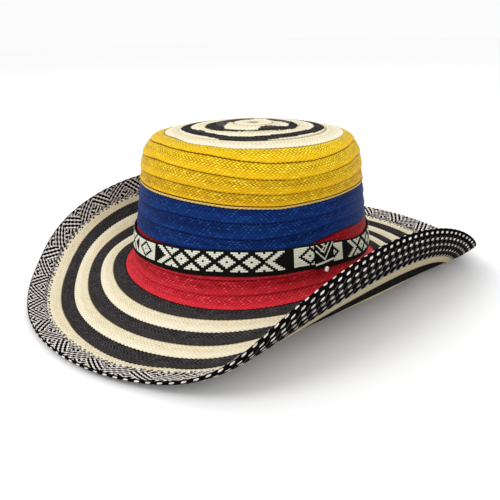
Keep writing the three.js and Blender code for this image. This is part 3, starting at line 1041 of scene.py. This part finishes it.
@dataclass(frozen=True)
class TrimFinish:
    """Black and white strands plaited over the rim, in wedges that slant to and fro.

    The map runs along the rim in wedges, and from 0 to 1 over the rim and back under it:
    small checks first, then the wedges, then rows of pale dashes on black round the edge and
    down the outer face, where they fade.
    """

    name: str = "trim_straw"
    white: Colour = (0.88, 0.83, 0.78)
    dull: Colour = (0.42, 0.37, 0.35)
    black: Colour = (0.004, 0.0035, 0.0035)
    strands: float = 3.6
    lean: float = 2.5
    waves: float = 15.0
    wave: float = 0.10
    white_share: float = 0.40
    check_end: float = 0.095
    wedge_end: float = 0.46
    row_height: float = 0.085
    dashes: float = 75 / 31
    fibre_scale: float = 50.0
    check_slope: float = 14.0
    check_share: float = 0.42
    check_strength: float = 0.7
    knot_phase: float = 0.25
    knot_start: float = 0.55
    luck_share: float = 0.35
    fibre_share: float = 0.5
    knot_share: float = 0.3
    fade_step: float = 0.25
    fade_range: tuple[float, float] = (0.45, 0.85)
    thread_start: float = 1.5
    thread_slope: float = 7.0
    thread_width: float = 0.06
    thread_strength: float = 0.1
    dash_edge: float = 0.3
    dash_luck: tuple[float, float] = (0.7, 0.4)
    first_shift: float = 0.5
    row_shift: float = 0.04
    dash_lean: float = 0.3
    dash_shape: tuple[float, float] = (4.3, 5.0)
    ridge_height: float = 0.6
    mask_height: float = 0.4
    roughness: tuple[float, float] = (0.42, 0.2)
    bump_depth: float = 0.0006

    def make(self) -> bpy.types.Material:
        """Build the material.

        Returns:
            The material, named after the slot.
        """
        tree = NodeTree(self.name)
        u, v = tree.map()
        along, strand, block = self.strand_at(u, v)
        dash, row = self.dash_at(u, v)
        on_check = v < self.check_end
        on_rows = v > self.wedge_end
        on_wedge = (1.0 - on_check) * (1.0 - on_rows)
        luck = tree.chance(strand, block, row * on_rows)
        fibre = tree.cloud(u * self.fibre_scale, v * self.fibre_scale)

        check_lane = (v * (2.0 / self.check_end)).floor()
        check = (u * self.strands + check_lane * 0.5 + v * self.check_slope) % 1.0
        white = on_wedge * (along < self.white_share)
        white = white + on_check * (check < self.check_share) * self.check_strength
        knot = abs((v * self.waves + self.knot_phase) % 1.0 * 2.0 - 1.0).ramp(self.knot_start, 1.0)
        pale = luck * self.luck_share + fibre * self.fibre_share + 0.5 - knot * self.knot_share
        pale = pale.least(1.0).most(0.0)

        faint, clear = self.fade_range
        fade = (1.0 - (row - 1.0) * self.fade_step).least(clear).most(faint)
        thread = abs((u * self.dashes + v * self.thread_slope) % 1.0 - 0.5) < self.thread_width
        thread = thread * (row > self.thread_start) * self.thread_strength
        least, more = self.dash_luck
        shown = (dash.ramp(0.0, self.dash_edge) * fade * (luck * more + least)).most(thread).least(1.0)
        mask = (white + on_rows * shown).least(1.0)
        pale = pale.most(on_rows * fade)
        colour = tree.mix(mask, self.black, tree.mix(pale, self.dull, self.white))
        ridge = 1.0 - abs((along * 2.0) % 1.0 * 2.0 - 1.0) ** 2.0
        smooth, rough = self.roughness
        return tree.finish({
            "Base Color": colour,
            "Roughness": fibre * rough + smooth,
            "Specular IOR Level": 0.0,
        }, on_wedge * ridge * self.ridge_height + mask * self.mask_height, self.bump_depth)

    def strand_at(self, u: Any, v: Any) -> tuple[Any, Any, Any]:
        """Which strand lies here, for sockets or arrays alike.

        Args:
            u: Place along the rim, in wedges.
            v: Place across the trim.

        Returns:
            Place across the strand from 0 to 1, number of the strand, and number of the wedge.
        """
        sway = (v - (self.check_end + self.wedge_end) / 2) * self.lean
        block = whole(u)
        line = (1.0 - (block % 2.0) * 2.0) * sway
        block = block - ((u - block) < line) * 1.0 + ((u - block) > (1.0 + line)) * 1.0
        line = (1.0 - (block % 2.0) * 2.0) * sway
        turn = v * (self.waves * TURN)
        wave = (turn.sine() if isinstance(u, Socket) else np.sin(turn)) * self.wave
        phase = (u - block - line) * self.strands + wave
        strand = whole(phase)
        return phase - strand, strand, block

    def dash_at(self, u: Any, v: Any) -> tuple[Any, Any]:
        """Which dash of the outer rows lies here, for sockets or arrays alike.

        Args:
            u: Place along the rim, in wedges.
            v: Place across the trim.

        Returns:
            How far inside a dash it is, above 0 inside, and the number of the row.
        """
        place = (v - self.wedge_end) / self.row_height
        row = whole(place)
        shift = (row < 0.5) * self.first_shift - row * (row - 1.0) * self.row_shift
        shorter, thinner = self.dash_shape
        along = ((u * self.dashes + shift + (place - row) * self.dash_lean) % 1.0 - 0.5) * shorter
        across = (place - row - 0.5) * thinner
        return 1.0 - along * along * along * along - across * across, row


@dataclass
class Trim:
    """The trim that wraps the brim's edge, in millimetres."""

    start: Edge
    rim: Edge
    node: str = "brim_trim"
    wedges: int = 62
    column_step: float = 0.85
    face_steps: int = 26
    edge_steps: int = 6
    relief: float = 0.28
    thickness: float = 2.5
    start_swell: float = 0.55
    rim_inset: float = 0.8
    middle_depth: float = 0.5
    under_reach: float = 5.0
    face_share: float = 0.43
    edge_share: float = 0.13
    edge_girth: float = 8.0
    finish: TrimFinish = TrimFinish()

    def build(self, form: HatForm) -> bpy.types.Object:
        """Make the trim as one closed ring and dress it.

        Args:
            form: The hat's surface.

        Returns:
            The new object.
        """
        middle = Edge((self.start.place + self.rim.place) / 2)
        length = form.even_angles(middle.at, QUARTERS)[1]
        columns = QUARTERS * round(length / self.column_step / QUARTERS)
        angles = form.even_angles(middle.at, columns)[0]
        share = np.linspace(0, 1, self.face_steps + 1)
        half = self.thickness / 2
        rounding = np.sin(np.clip(share * 2, 0, 1) * math.pi / 2)
        swell = half * (self.start_swell + (1 - self.start_swell) * rounding)
        start = self.start.at(angles[:-1])[:, None]
        end = self.rim.at(angles[:-1])[:, None] + half * self.rim_inset
        turn = np.arange(1, self.edge_steps) / self.edge_steps
        top = start + share * (end - start)
        under = end + share * (start + self.under_reach - end)
        places = np.hstack((top, end - half * np.sin(turn * math.pi), under))
        offsets = np.concatenate((swell, half * np.cos(turn * math.pi), -swell[::-1]))
        outer = self.face_share + self.edge_share
        across = np.concatenate((share * self.face_share, self.face_share + self.edge_share * turn,
                                 outer + share * self.face_share, [1.0]))
        u = np.arange(columns + 1)[:, None] / columns * self.wedges
        heights = offsets[None, :] - self.middle_depth + self._relief(u[:-1], across[None, :-1])
        points = form.rested(form.lifted(angles[:-1, None], places, heights))
        maker = MeshMaker("plaited_trim")
        u = np.broadcast_to(u, (columns + 1, places.shape[1]))
        girth = 2 * (self.start.place - self.rim.place) + self.edge_girth
        maker.add(Ring(points, u, across, length, girth))
        return dress(maker.build(), self.finish, self.node)

    def _relief(self, u: Array, v: Array) -> Array:
        """Height of the strands, which stand out from either face.

        Args:
            u: Places along the rim, in wedges.
            v: Places across the trim.

        Returns:
            Heights in millimetres, below 0 on the outer face.
        """
        finish = self.finish
        ridge = np.cos((finish.strand_at(u, v)[0] - finish.white_share / 2) * TURN)
        dash = np.clip(finish.dash_at(u, v)[0], 0.0, 1.0)
        outward = np.where(v > 0.5, -1.0, 1.0)
        return self.relief * np.where(v > finish.wedge_end, dash * outward, ridge)


# Ribbon

FIGURE_ROWS = 11

LATTICE = (
    ".###...###",
    "###.....##",
    "##...#...#",
    "#...###...",
    "...#####..",
    "..###.###.",
    "...#####..",
    "#...###...",
    "##...#...#",
    "###.....##",
    ".###...###",
)


@dataclass(frozen=True)
class RibbonChart:
    """Figures of the ribbon, charted in cells: floats of the pale weft on the dark ground."""

    cells: int = 357
    arrow: int = 8
    arrow_width: int = 3
    blocks: tuple[int, ...] = (-12, 66, 77, 218)
    features: tuple[tuple[int, int], ...] = ((5, 4), (96, 4), (157, 4), (237, 4), (298, 3))

    def table(self) -> Array:
        """Draw the chart.

        Returns:
            1 for each pale cell, as columns round the hat by rows from the top.
        """
        chart = np.zeros((self.cells, FIGURE_ROWS))
        for start in self.blocks:
            self._block(chart, start)
        for start, diamonds in self.features:
            self._feature(chart, start, diamonds)
        return chart

    def _block(self, chart: Array, start: int, half: int = 7) -> None:
        """A pale block that holds a ringed diamond with a dot.

        Args:
            chart: Cells to draw in.
            start: First column.
            half: Columns to either side of its middle.
        """
        for step in range(2 * half + 1):
            for row in range(FIGURE_ROWS):
                away = abs(step - half) + abs(row - FIGURE_ROWS // 2)
                chart[(start + step) % self.cells, row] = float(0 < away < 4 or away > 5)

    def _feature(self, chart: Array, start: int, diamonds: int) -> None:
        """An arrow, a run of diamonds between triangles, and an arrow back.

        Args:
            chart: Cells to draw in.
            start: First column.
            diamonds: How many diamonds the run has.
        """
        period = len(LATTICE[0])
        run = period * diamonds + 1
        for row in range(FIGURE_ROWS):
            lean = FIGURE_ROWS // 2 - abs(row - FIGURE_ROWS // 2)
            for step in range(self.arrow_width):
                chart[(start + lean + step) % self.cells, row] = 1.0
                end = start + 2 * self.arrow + run - 1 - lean - step
                chart[end % self.cells, row] = 1.0
            for step in range(-self.arrow_width, run + self.arrow_width):
                if LATTICE[row][step % period] == "#":
                    chart[(start + self.arrow + step) % self.cells, row] = 1.0


@dataclass(frozen=True)
class RibbonFinish:
    """Woven ribbon: pale floats on a black ground, each float painted light along its crest and dull at its
    edges as shading.
    """

    name: str = "ribbon"
    pale: Colour = (0.80, 0.81, 0.68)
    # Painted shade at the edges of the pale floats.
    dull: Colour = (0.34, 0.35, 0.29)
    ground: Colour = (0.005, 0.005, 0.0045)
    threads: float = 3.0
    roundness: float = 3.0
    mound_share: float = 0.8
    thread_height: float = 0.3
    roughness: tuple[float, float] = (0.75, 0.1)
    specular: float = 0.05
    bump_depth: float = 0.0002

    def make(self) -> bpy.types.Material:
        """Build the material.

        Returns:
            The material, named after the slot.
        """
        tree = NodeTree(self.name)
        u, v = tree.map()
        figure = tree.figure()
        cell = tree.chance(u.floor(), v.floor())
        thread = (u * self.threads) % 1.0 - 0.5
        mound = 1.0 - abs((v % 1.0) * 2.0 - 1.0) ** self.roundness
        # Painted shading across each round float, light along its crest and dull at its edges, with a random
        # tone for each cell.
        light = mound * self.mound_share + cell * (1.0 - self.mound_share)
        colour = tree.mix(figure, self.ground, tree.mix(light, self.dull, self.pale))
        height = mound * figure + abs(thread) * self.thread_height
        smooth, rough = self.roughness
        return tree.finish({
            "Base Color": colour,
            "Roughness": cell * rough + smooth,
            "Specular IOR Level": self.specular,
        }, height, self.bump_depth)


@dataclass
class Ribbon:
    """The ribbon round the crown, in millimetres. It sags a little behind."""

    low: Edge = Edge(11.69, ((-60, -2.5), (-21, -1.7), (-8, -0.2), (3, 0.5), (21, 0.5), (36, 1.3),
                             (61, 0.6), (70, 1.0), (80, 0.0), (87, -1.4), (94, -2.2),
                             (102, -4.0), (112, -5.5), (150, -6.0), (240, -4.5)))
    top: Edge = Edge(30.03, ((-60, -4.5), (-21, -4.5), (-5, -3.3), (2, -2.5), (10, -1.5),
                             (21, -0.8), (32, 0.2), (41, 0.7), (61, 0.3), (70, 1.0), (80, 0.3),
                             (86, -0.8), (93, -2.5), (103, -5.0), (112, -6.5), (150, -7.0),
                             (240, -6.0)))
    top_margin: float = 0.07
    foot_margin: float = 0.18
    inner: float = 1.0
    thickness: float = 1.2
    relief: float = 0.16
    edge_drop: float = 0.3
    fold_shares: tuple[float, ...] = (0.005, 0.0, 0.025)
    fold_girth: float = 3.0
    chart: RibbonChart = RibbonChart()
    finish: RibbonFinish = RibbonFinish()

    def build(self, form: HatForm) -> bpy.types.Object:
        """Make the ribbon as one closed ring, with its floats standing up.

        Args:
            form: The hat's surface.

        Returns:
            The new object.
        """
        def middle(angle: Array) -> Array:
            """Place of the ribbon's middle."""
            return (self.low.at(angle) + self.top.at(angle)) / 2

        columns = 2 * self.chart.cells
        angles, length = form.even_angles(middle, columns)
        angle = angles[:-1, None]
        table = self.chart.table()
        rows = 2 * FIGURE_ROWS
        fold = np.array(self.fold_shares)
        figures = np.linspace(1 - self.top_margin, self.foot_margin, rows + 1)
        shares = np.concatenate((1 - fold, figures, fold[::-1]))
        low = self.low.at(angle)
        places = low + (self.top.at(angle) - low) * shares[None, :]
        outer = self.inner + self.thickness
        edge = np.array([self.inner, outer - self.edge_drop, outer])
        offsets = np.concatenate((edge, np.full(rows + 1, outer), edge[::-1]))
        column, first = np.arange(columns) // 2, len(fold)
        vertex_row = np.minimum(np.arange(rows + 1) // 2, FIGURE_ROWS - 1)
        height = np.zeros((columns, len(shares)))
        height[:, first:first + rows + 1] = table[column][:, vertex_row] * (np.arange(rows + 1) % 2)
        points = form.rested(form.lifted(angle, places, offsets[None, :] + height * self.relief))
        faces = np.zeros((columns, len(shares)))
        faces[:, first:first + rows] = table[column][:, np.arange(rows) // 2]
        u = np.broadcast_to(np.arange(columns + 1)[:, None] / 2, (columns + 1, len(shares)))
        v = np.concatenate((np.arange(-first, 0) / 2 - 0.5, np.arange(rows + 1) / 2,
                            FIGURE_ROWS + 1.0 + np.arange(first + 1)))
        maker = MeshMaker("woven_ribbon")
        girth = 2 * float(np.mean(places[:, 1] - low[:, 0])) + self.fold_girth
        maker.add(Ring(points, u, v, length, girth), faces)
        return dress(maker.build(), self.finish, "hat_band")


@dataclass
class Tab:
    """The ribbon's folded end: a plate with chevrons and a pale bar, in millimetres."""

    angle: float = 81.5
    place: float = 15.8
    radius: float = 93.5
    half_width: float = 8.2
    reach_down: float = 4.2
    reach_up: float = 14.8
    tilt: float = 6.0
    inner: float = 2.4
    thickness: float = 0.9
    relief: float = 0.18
    cell: float = 0.28
    arm_slope: float = 1.27
    stroke: float = 0.52
    bar: float = 0.78
    tips: tuple[float, ...] = (2.0, 7.4, 12.8)
    arm_stroke: float = 1.5
    hook_rise: float = 12.2
    hook_across: float = 1.2
    hook_stroke: float = 0.7
    hook_width: float = 2.4
    bar_margin: float = 0.2
    arm_margin: float = 0.6
    top_margin: float = 0.9
    edge_width: float = 0.6
    edge_drop: float = 0.3
    thread: float = 1.6
    finish: RibbonFinish = RibbonFinish()

    def pale(self, across: Array, up: Array) -> Array:
        """Where the tab shows its pale weft.

        Args:
            across: Places across the tab from its middle.
            up: Places up the tab.

        Returns:
            Whether each place is pale.
        """
        lean = math.radians(self.tilt)
        along = across * math.cos(lean) + up * math.sin(lean)
        rise = up * math.cos(lean) - across * math.sin(lean)
        shown = (np.abs(rise) < self.bar) & (np.abs(across) < self.half_width - self.bar_margin)
        inside = np.abs(across) < self.half_width - self.arm_margin
        for tip in self.tips:
            arm = rise - tip - np.abs(along) * self.arm_slope
            shown |= (np.abs(arm) < self.stroke * self.arm_stroke) & inside
        hook = rise - self.hook_rise + np.abs(along - self.hook_across)
        shown |= (np.abs(hook) < self.hook_stroke) & (np.abs(along) < self.hook_width)
        return shown & (up < self.reach_up - self.top_margin)

    def build(self, form: HatForm) -> bpy.types.Object:
        """Make the tab as a closed plate and dress it.

        Args:
            form: The hat's surface.

        Returns:
            The new object.
        """
        across = np.linspace(-self.half_width, self.half_width, round(2 * self.half_width / self.cell))
        up = np.linspace(-self.reach_down, self.reach_up,
                         round((self.reach_up + self.reach_down) / self.cell))
        a, b = np.meshgrid(across, up, indexing="ij")
        angle = np.radians(self.angle) + a / self.radius
        shown = self.pale(a, b)
        round_off = np.minimum(self.half_width - np.abs(a), self.edge_width) * 0.5
        outer = self.inner + self.thickness - self.edge_drop + round_off + shown * self.relief
        front = form.lifted(angle, self.place + b, outer)
        back = form.lifted(angle, self.place + b, np.full_like(a, self.inner))
        vertices = form.rested(np.concatenate((front.reshape(-1, 3), back.reshape(-1, 3))))
        number = np.arange(a.size).reshape(a.shape)
        square = np.stack((number[:-1, :-1], number[1:, :-1], number[1:, 1:], number[:-1, 1:]), -1)
        square = square.reshape(-1, 4)
        edge = np.concatenate((number[:, 0], number[-1, 1:], number[-2::-1, -1], number[0, -2:0:-1]))
        after = np.roll(edge, -1)
        side = np.stack((edge, edge + a.size, after + a.size, after), -1)
        corners = np.concatenate((square, square[:, ::-1] + a.size, side))
        middle = self.pale(a[:-1, :-1] + self.cell / 2, b[:-1, :-1] + self.cell / 2).reshape(-1)
        figures = np.concatenate((middle, np.zeros(len(corners) - len(middle))))
        flat = np.stack((a.ravel(), b.ravel()), -1) / self.thread
        weave = np.concatenate((flat, flat))[corners]
        maker = MeshMaker("ribbon_end_tab")
        piece = maker.mesh_object(vertices, corners, {"weave": weave}, figures)
        return dress(piece, self.finish, "band_tab")


@dataclass(frozen=True)
class BeadFinish:
    """Glossy glass, pale pink with faint clouds."""

    name: str = "bead"
    pale: Colour = (0.92, 0.80, 0.76)
    warm: Colour = (0.80, 0.60, 0.55)
    cloud_scale: float = 6.0
    roughness: tuple[float, float] = (0.2, 0.1)

    def make(self) -> bpy.types.Material:
        """Build the material.

        Returns:
            The material, named after the slot.
        """
        tree = NodeTree(self.name)
        u, v = tree.map()
        cloud = tree.cloud(u * self.cloud_scale, v * self.cloud_scale)
        smooth, rough = self.roughness
        return tree.finish({"Base Color": tree.mix(cloud, self.warm, self.pale),
                            "Roughness": cloud * rough + smooth})


@dataclass
class Bead:
    """The bored bead sewn below the tab, in millimetres."""

    angle: float = 81.4
    place: float = 10.6
    offset: float = 4.7
    lean: float = 24.0
    length: float = 3.7
    radius: float = 1.3
    bore: float = 0.4
    mouth: float = 0.15
    sides: int = 28
    stations: int = 15
    bore_stations: tuple[float, ...] = (0.93, 0.0, -0.93)
    girths: tuple[float, float] = (9.0, 8.0)
    finish: BeadFinish = BeadFinish()

    def build(self, form: HatForm) -> bpy.types.Object:
        """Make the bead as a barrel with a bore.

        Args:
            form: The hat's surface.

        Returns:
            The new object.
        """
        angle, place = np.radians([self.angle]), np.array([self.place])
        centre = form.lifted(angle, place, np.array([self.offset]))[0]
        out = centre - form.point(angle, place)[0]
        out /= np.linalg.norm(out)
        up = form.point(angle, place + 1)[0] - form.point(angle, place)[0]
        up /= np.linalg.norm(up)
        aside = np.cross(up, out)
        lean = math.radians(self.lean)
        axis = up * math.cos(lean) + aside * math.sin(lean)
        cross = aside * math.cos(lean) - up * math.sin(lean)
        turn = (np.arange(self.sides) * TURN / self.sides)[:, None]
        bulge = np.linspace(-1, 1, self.stations)
        along = np.concatenate((bulge, self.bore_stations)) * self.length / 2
        barrel = self.bore + (self.radius - self.bore) * (1 - bulge ** 4) ** 0.5
        barrel[0] = barrel[-1] = self.bore + self.mouth
        reach = np.concatenate((barrel, [self.bore] * len(self.bore_stations)))
        ring = (np.cos(turn)[..., None] * out + np.sin(turn)[..., None] * cross) * reach[None, :, None]
        points = centre + ring + axis * along[None, :, None]
        count = len(along)
        u = np.broadcast_to(np.arange(self.sides + 1)[:, None] / self.sides, (self.sides + 1, count))
        maker = MeshMaker("bored_bead")
        maker.add(Ring(form.rested(points[::-1]), u, np.arange(count + 1) / count, *self.girths))
        return dress(maker.build(), self.finish, "tab_bead")


# Stage

@dataclass(frozen=True)
class Stage:
    """Pale floor, soft light and the camera. Lamps have a name, a place, a size and watts."""

    floor_size: float = 12.0
    floor_shade: float = 0.985
    floor_roughness: float = 0.9
    surround: float = 0.97
    lamps: tuple[tuple[str, tuple[float, float, float], float, float], ...] = (
        ("key", (-0.3, -1.3, 1.6), 0.9, 11.0),
        ("fill", (1.5, -0.5, 0.9), 1.0, 3.0))
    azimuth: float = 48.748
    elevation: float = 16.401
    distance: float = 462.09
    target_height: float = 40.0
    focal_pixels: float = 572.886
    target_pixel: tuple[float, float] = (253.327, 207.341)
    picture: float = 500.0
    sensor: float = 36.0
    clip_start: float = 0.01

    def build(self, form: HatForm) -> None:
        """Make everything round the hat.

        Args:
            form: The hat's surface, which says how the hat rests.
        """
        self._floor()
        self._lights()
        self._camera(form)

    def _floor(self) -> None:
        """A pale floor that runs out of sight."""
        half = self.floor_size / 2
        mesh = bpy.data.meshes.new("floor")
        corners = [(-half, -half, 0), (half, -half, 0), (half, half, 0), (-half, half, 0)]
        mesh.from_pydata(corners, [], [(0, 1, 2, 3)])
        floor = bpy.data.objects.new("floor", mesh)
        bpy.context.scene.collection.objects.link(floor)
        tree = NodeTree("pale_floor")
        sockets = {"Base Color": tree.solid([self.floor_shade] * 3), "Roughness": self.floor_roughness,
                   "Specular IOR Level": 0.0}
        floor.data.materials.append(tree.finish(sockets))

    def _lights(self) -> None:
        """A pale surround and square lamps that point at the hat."""
        world = bpy.data.worlds.new("studio")
        world.use_nodes = True
        background = world.node_tree.nodes["Background"]
        background.inputs["Color"].default_value = (1.0, 1.0, 1.0, 1.0)
        background.inputs["Strength"].default_value = self.surround
        bpy.context.scene.world = world
        for name, place, size, power in self.lamps:
            data = bpy.data.lights.new(name, "AREA")
            data.energy, data.size = power, size
            lamp = bpy.data.objects.new(name, data)
            lamp.location = place
            lamp.rotation_euler = (-Vector(place)).to_track_quat("-Z", "Y").to_euler()
            bpy.context.scene.collection.objects.link(lamp)

    def _camera(self, form: HatForm) -> None:
        """The camera, placed in the upright hat's frame and tipped with it.

        Args:
            form: The hat's surface, which says how the hat rests.
        """
        turn, rise = math.radians(self.azimuth), math.radians(self.elevation)
        back = Vector((math.sin(turn) * math.cos(rise), -math.cos(turn) * math.cos(rise),
                       math.sin(rise)))
        target = Vector((0.0, 0.0, self.target_height * MM))
        look = (-back).to_track_quat("-Z", "Y").to_matrix().to_4x4()
        place = Matrix.Translation(target + back * self.distance * MM) @ look
        data = bpy.data.cameras.new("camera")
        data.sensor_width = self.sensor
        data.lens = self.focal_pixels * self.sensor / self.picture
        data.shift_x = (self.picture / 2 - self.target_pixel[0]) / self.picture
        data.shift_y = (self.target_pixel[1] - self.picture / 2) / self.picture
        data.clip_start = self.clip_start
        camera = bpy.data.objects.new("camera", data)
        camera.matrix_world = form.rest_matrix() @ place
        bpy.context.scene.collection.objects.link(camera)
        bpy.context.scene.camera = camera
        bpy.context.scene.view_settings.view_transform = "Standard"


# Rows of the hat

@dataclass(frozen=True)
class TopChart:
    """Where the crown's top is black: degrees, outer place and inner place of two rings."""

    outer: tuple[tuple[float, float, float], ...] = (
        (0, 119.0, 126.8), (11, 118.8, 125.4), (28, 115.3, 124.0), (45, 114.2, 123.6),
        (61, 115.4, 124.7), (80, 117.6, 125.8), (99, 118.0, 126.0), (114, 117.4, 124.8),
        (129, 116.2, 124.3), (180, 116.0, 124.0), (270, 116.5, 124.0), (328, 117.0, 124.0),
        (338, 118.0, 124.8), (352, 118.8, 128.2))
    inner: tuple[tuple[float, float, float], ...] = (
        (0, 132.2, 143.0), (8, 133.0, 139.5), (21, 134.8, 138.6), (45, 135.6, 138.4),
        (56, 135.6, 140.0), (66, 135.8, 149.5), (78, 135.4, 152.0), (92, 134.8, 151.0),
        (101, 133.8, 143.0), (112, 134.0, 141.0), (128, 136.0, 142.5), (145, 138.0, 147.0),
        (170, 139.5, 152.0), (190, 140.0, 152.0), (206, 140.0, 146.0), (228, 140.0, 145.0),
        (240, 140.0, 154.0), (268, 140.0, 157.0), (300, 139.0, 156.0), (312, 137.0, 151.0),
        (325, 135.0, 150.5), (342, 132.8, 149.0))

    def black(self, angle: Array, place: Array) -> Array:
        """Where the top is black.

        Args:
            angle: Angles round the hat in radians.
            place: Places on the surface.

        Returns:
            Whether each place is black.
        """
        degrees = np.degrees(angle) % 360
        found = np.zeros(degrees.shape, bool)
        for chart in (self.outer, self.inner):
            turn, outer, inner = zip(*chart)
            low = np.interp(degrees, turn, outer, period=360)
            high = np.interp(degrees, turn, inner, period=360)
            found |= (place > low) & (place < high)
        return found

    def cream(self, angle: Array, place: Array) -> Array:
        """Whether the top is cream at these places."""
        return ~self.black(angle, place)


YELLOW_TOP_SHARE = 0.6165
YELLOW_TOP_WANDER = ((-30, 1.6), (-10, 4.2), (0, 3.0), (10, 0.8), (28, -0.4), (40, -3.2), (60, -3.8),
                     (88, -4.2), (105, -3.0), (133, -2.4), (200, -1.0), (270, -0.5))
YELLOW_EDGES = (
    Edge(89.2, ((-19, 6.3), (-9, 7.3), (10, 6.2), (30, 4.2), (45, 0.8), (58, -1.2), (80, -1.7),
                (96, 0.3), (119, 3.4), (180, 2.0), (270, 2.5))),
    Edge(78.1, ((-19, 5.5), (-4, 7.1), (15, 5.1), (31, 2.8), (49, -0.2), (69, -1.9), (87, -0.4),
                (105, 2.0), (116, 4.2), (180, 2.0), (270, 2.5))),
    Edge(68.2, ((-13, 4.7), (2, 5.0), (21, 3.5), (35, 1.1), (62, -1.4), (80, -0.8), (104, 1.0),
                (117, 2.5), (180, 1.0), (270, 1.5))),
    Edge(58.9, ((-22, 3.3), (10, 2.5), (29, 1.1), (40, -0.2), (62, -1.5), (80, 0.0), (103, 1.4),
                (180, 0.5), (270, 1.0))),
)
BLUE_EDGES = (
    YELLOW_EDGES[-1],
    Edge(49.1, ((-3, 1.4), (10, 2.1), (25, 1.3), (37, -0.1), (57, -0.7), (76, 0.2), (100, 1.5),
                (180, 0.0))),
    Edge(38.8, ((0, 1.2), (18, 1.1), (31, -0.4), (52, -1.1), (68, 0.5), (84, 3.0), (96, 3.8),
                (119, 1.8), (180, 0.0))),
    Edge(30.4, ((-90, 0.0), (-25, -1.6), (-4, -1.4), (8, -1.3), (20, -1.4), (35, -1.9), (60, -1.2),
                (72, -0.4), (84, 3.6), (96, 5.4), (119, 2.4), (150, 0.6))),
)
RED_PLACES = (20.5, 10.5, 0.0)
TOP_SHARES = {"crown_edge_cream_row": 0.0685, "crown_outer_black_row": 0.0505,
              "crown_middle_cream_row": 0.0665, "crown_inner_black_row": 0.04}
TOP_HOLE = 3.0
BRIM_ROW_WIDTH = 11.05
BRIM_ROWS = ("brim_black_row_1", "brim_cream_row_1", "brim_black_row_2", "brim_cream_row_2",
             "brim_black_row_3", "brim_cream_row_3")
LAST_ROW_WIDTH = 8.0
TRIM_LAP = 1.4
BLACK_WANDER = ((-75, 0), (-48, 1.8), (-29, 0.7), (-6, 1.3), (4, -0.6), (10, -1.9), (15, -2.3),
                (20, -1.1), (24, 0.4), (50, 0))
TRIM_WANDER = ((-75, 0), (-46, -1.4), (-28, -2.7), (-17, -2.1), (-8, -1.8), (0, -0.9), (7, -1.3),
               (12, -1.9), (16, -0.9), (20, 0.8), (25, 1.7), (30, 2.6), (55, 0))
RIM_WANDER = ((-90, 0), (-65, 1.6), (-45, 1.2), (-25, 1.2), (-15, 2.6), (-5, 3.8), (4, 4.6),
              (12, 4.4), (20, 4.4), (35, 2.2), (60, 0))


def crown_rows(form: HatForm) -> list[StrawRows]:
    """The rows of the crown.

    Args:
        form: The hat's surface.

    Returns:
        The coloured runs: the wall's first, and then the top's from its edge to its centre.
    """
    length = form.profile_length
    wall, top_braid, chart = Braid(), Braid(rise=0.35, sink=0.35, relief=0.2), TopChart()
    low = Edge(YELLOW_TOP_SHARE * length, YELLOW_TOP_WANDER)
    red_edges = (BLUE_EDGES[-1], *(Edge(place) for place in RED_PLACES), Edge(-form.flare_length))
    rows = [
        StrawRows("yellow_rows", Dye.YELLOW, (low, *YELLOW_EDGES), wall, welt=True),
        StrawRows("blue_rows", Dye.BLUE, BLUE_EDGES, wall),
        StrawRows("red_rows", Dye.RED, red_edges, wall),
    ]
    place = low.place
    dye, marks = Dye.CREAM, chart.black
    for node, share in TOP_SHARES.items():
        place += share * length
        high = Edge(place)
        rows.append(StrawRows(node, dye, (high, low), top_braid, marks))
        dye, marks = (Dye.BLACK, chart.cream) if dye is Dye.CREAM else (Dye.CREAM, chart.black)
        low = high
    centre = (Edge(length - TOP_HOLE), Edge((place + length) / 2), Edge(place))
    rows.append(StrawRows("crown_centre", Dye.CREAM, centre, top_braid, chart.black))
    return rows


def brim_edges(form: HatForm) -> list[Edge]:
    """The edges of the brim's rows.

    Args:
        form: The hat's surface.

    Returns:
        The edges from the flare outwards. The last lies under the trim.
    """
    places = [-form.flare_length - BRIM_ROW_WIDTH * number for number in range(len(BRIM_ROWS))]
    edges = [Edge(place) for place in places[:-1]]
    return [*edges, Edge(places[-1], BLACK_WANDER), Edge(places[-1] - LAST_ROW_WIDTH, TRIM_WANDER)]


def brim_rows(form: HatForm) -> list[StrawRows]:
    """The rows of the brim.

    Args:
        form: The hat's surface.

    Returns:
        The rows from the flare to the trim, black and cream by turns.
    """
    braid = Braid(rise=0.3, sink=0.35, thickness=1.4, scallop=0.3)
    edges = brim_edges(form)
    dyes = (Dye.BLACK, Dye.CREAM)
    return [StrawRows(name, dyes[number % 2], tuple(edges[number:number + 2]), braid)
            for number, name in enumerate(BRIM_ROWS)]


def main() -> None:
    """Build the hat and its stage."""
    logging.basicConfig(level=logging.INFO, format="%(name)s: %(message)s")
    form = HatForm()
    Stage().build(form)
    for rows in crown_rows(form) + brim_rows(form):
        rows.build(form)
    start = Edge(brim_edges(form)[-1].place + TRIM_LAP, TRIM_WANDER)
    Trim(start=start, rim=Edge(-form.flare_length - form.brim_width, RIM_WANDER)).build(form)
    for part in (Ribbon(), Tab(), Bead()):
        part.build(form)


if __name__ == "__main__":
    main()
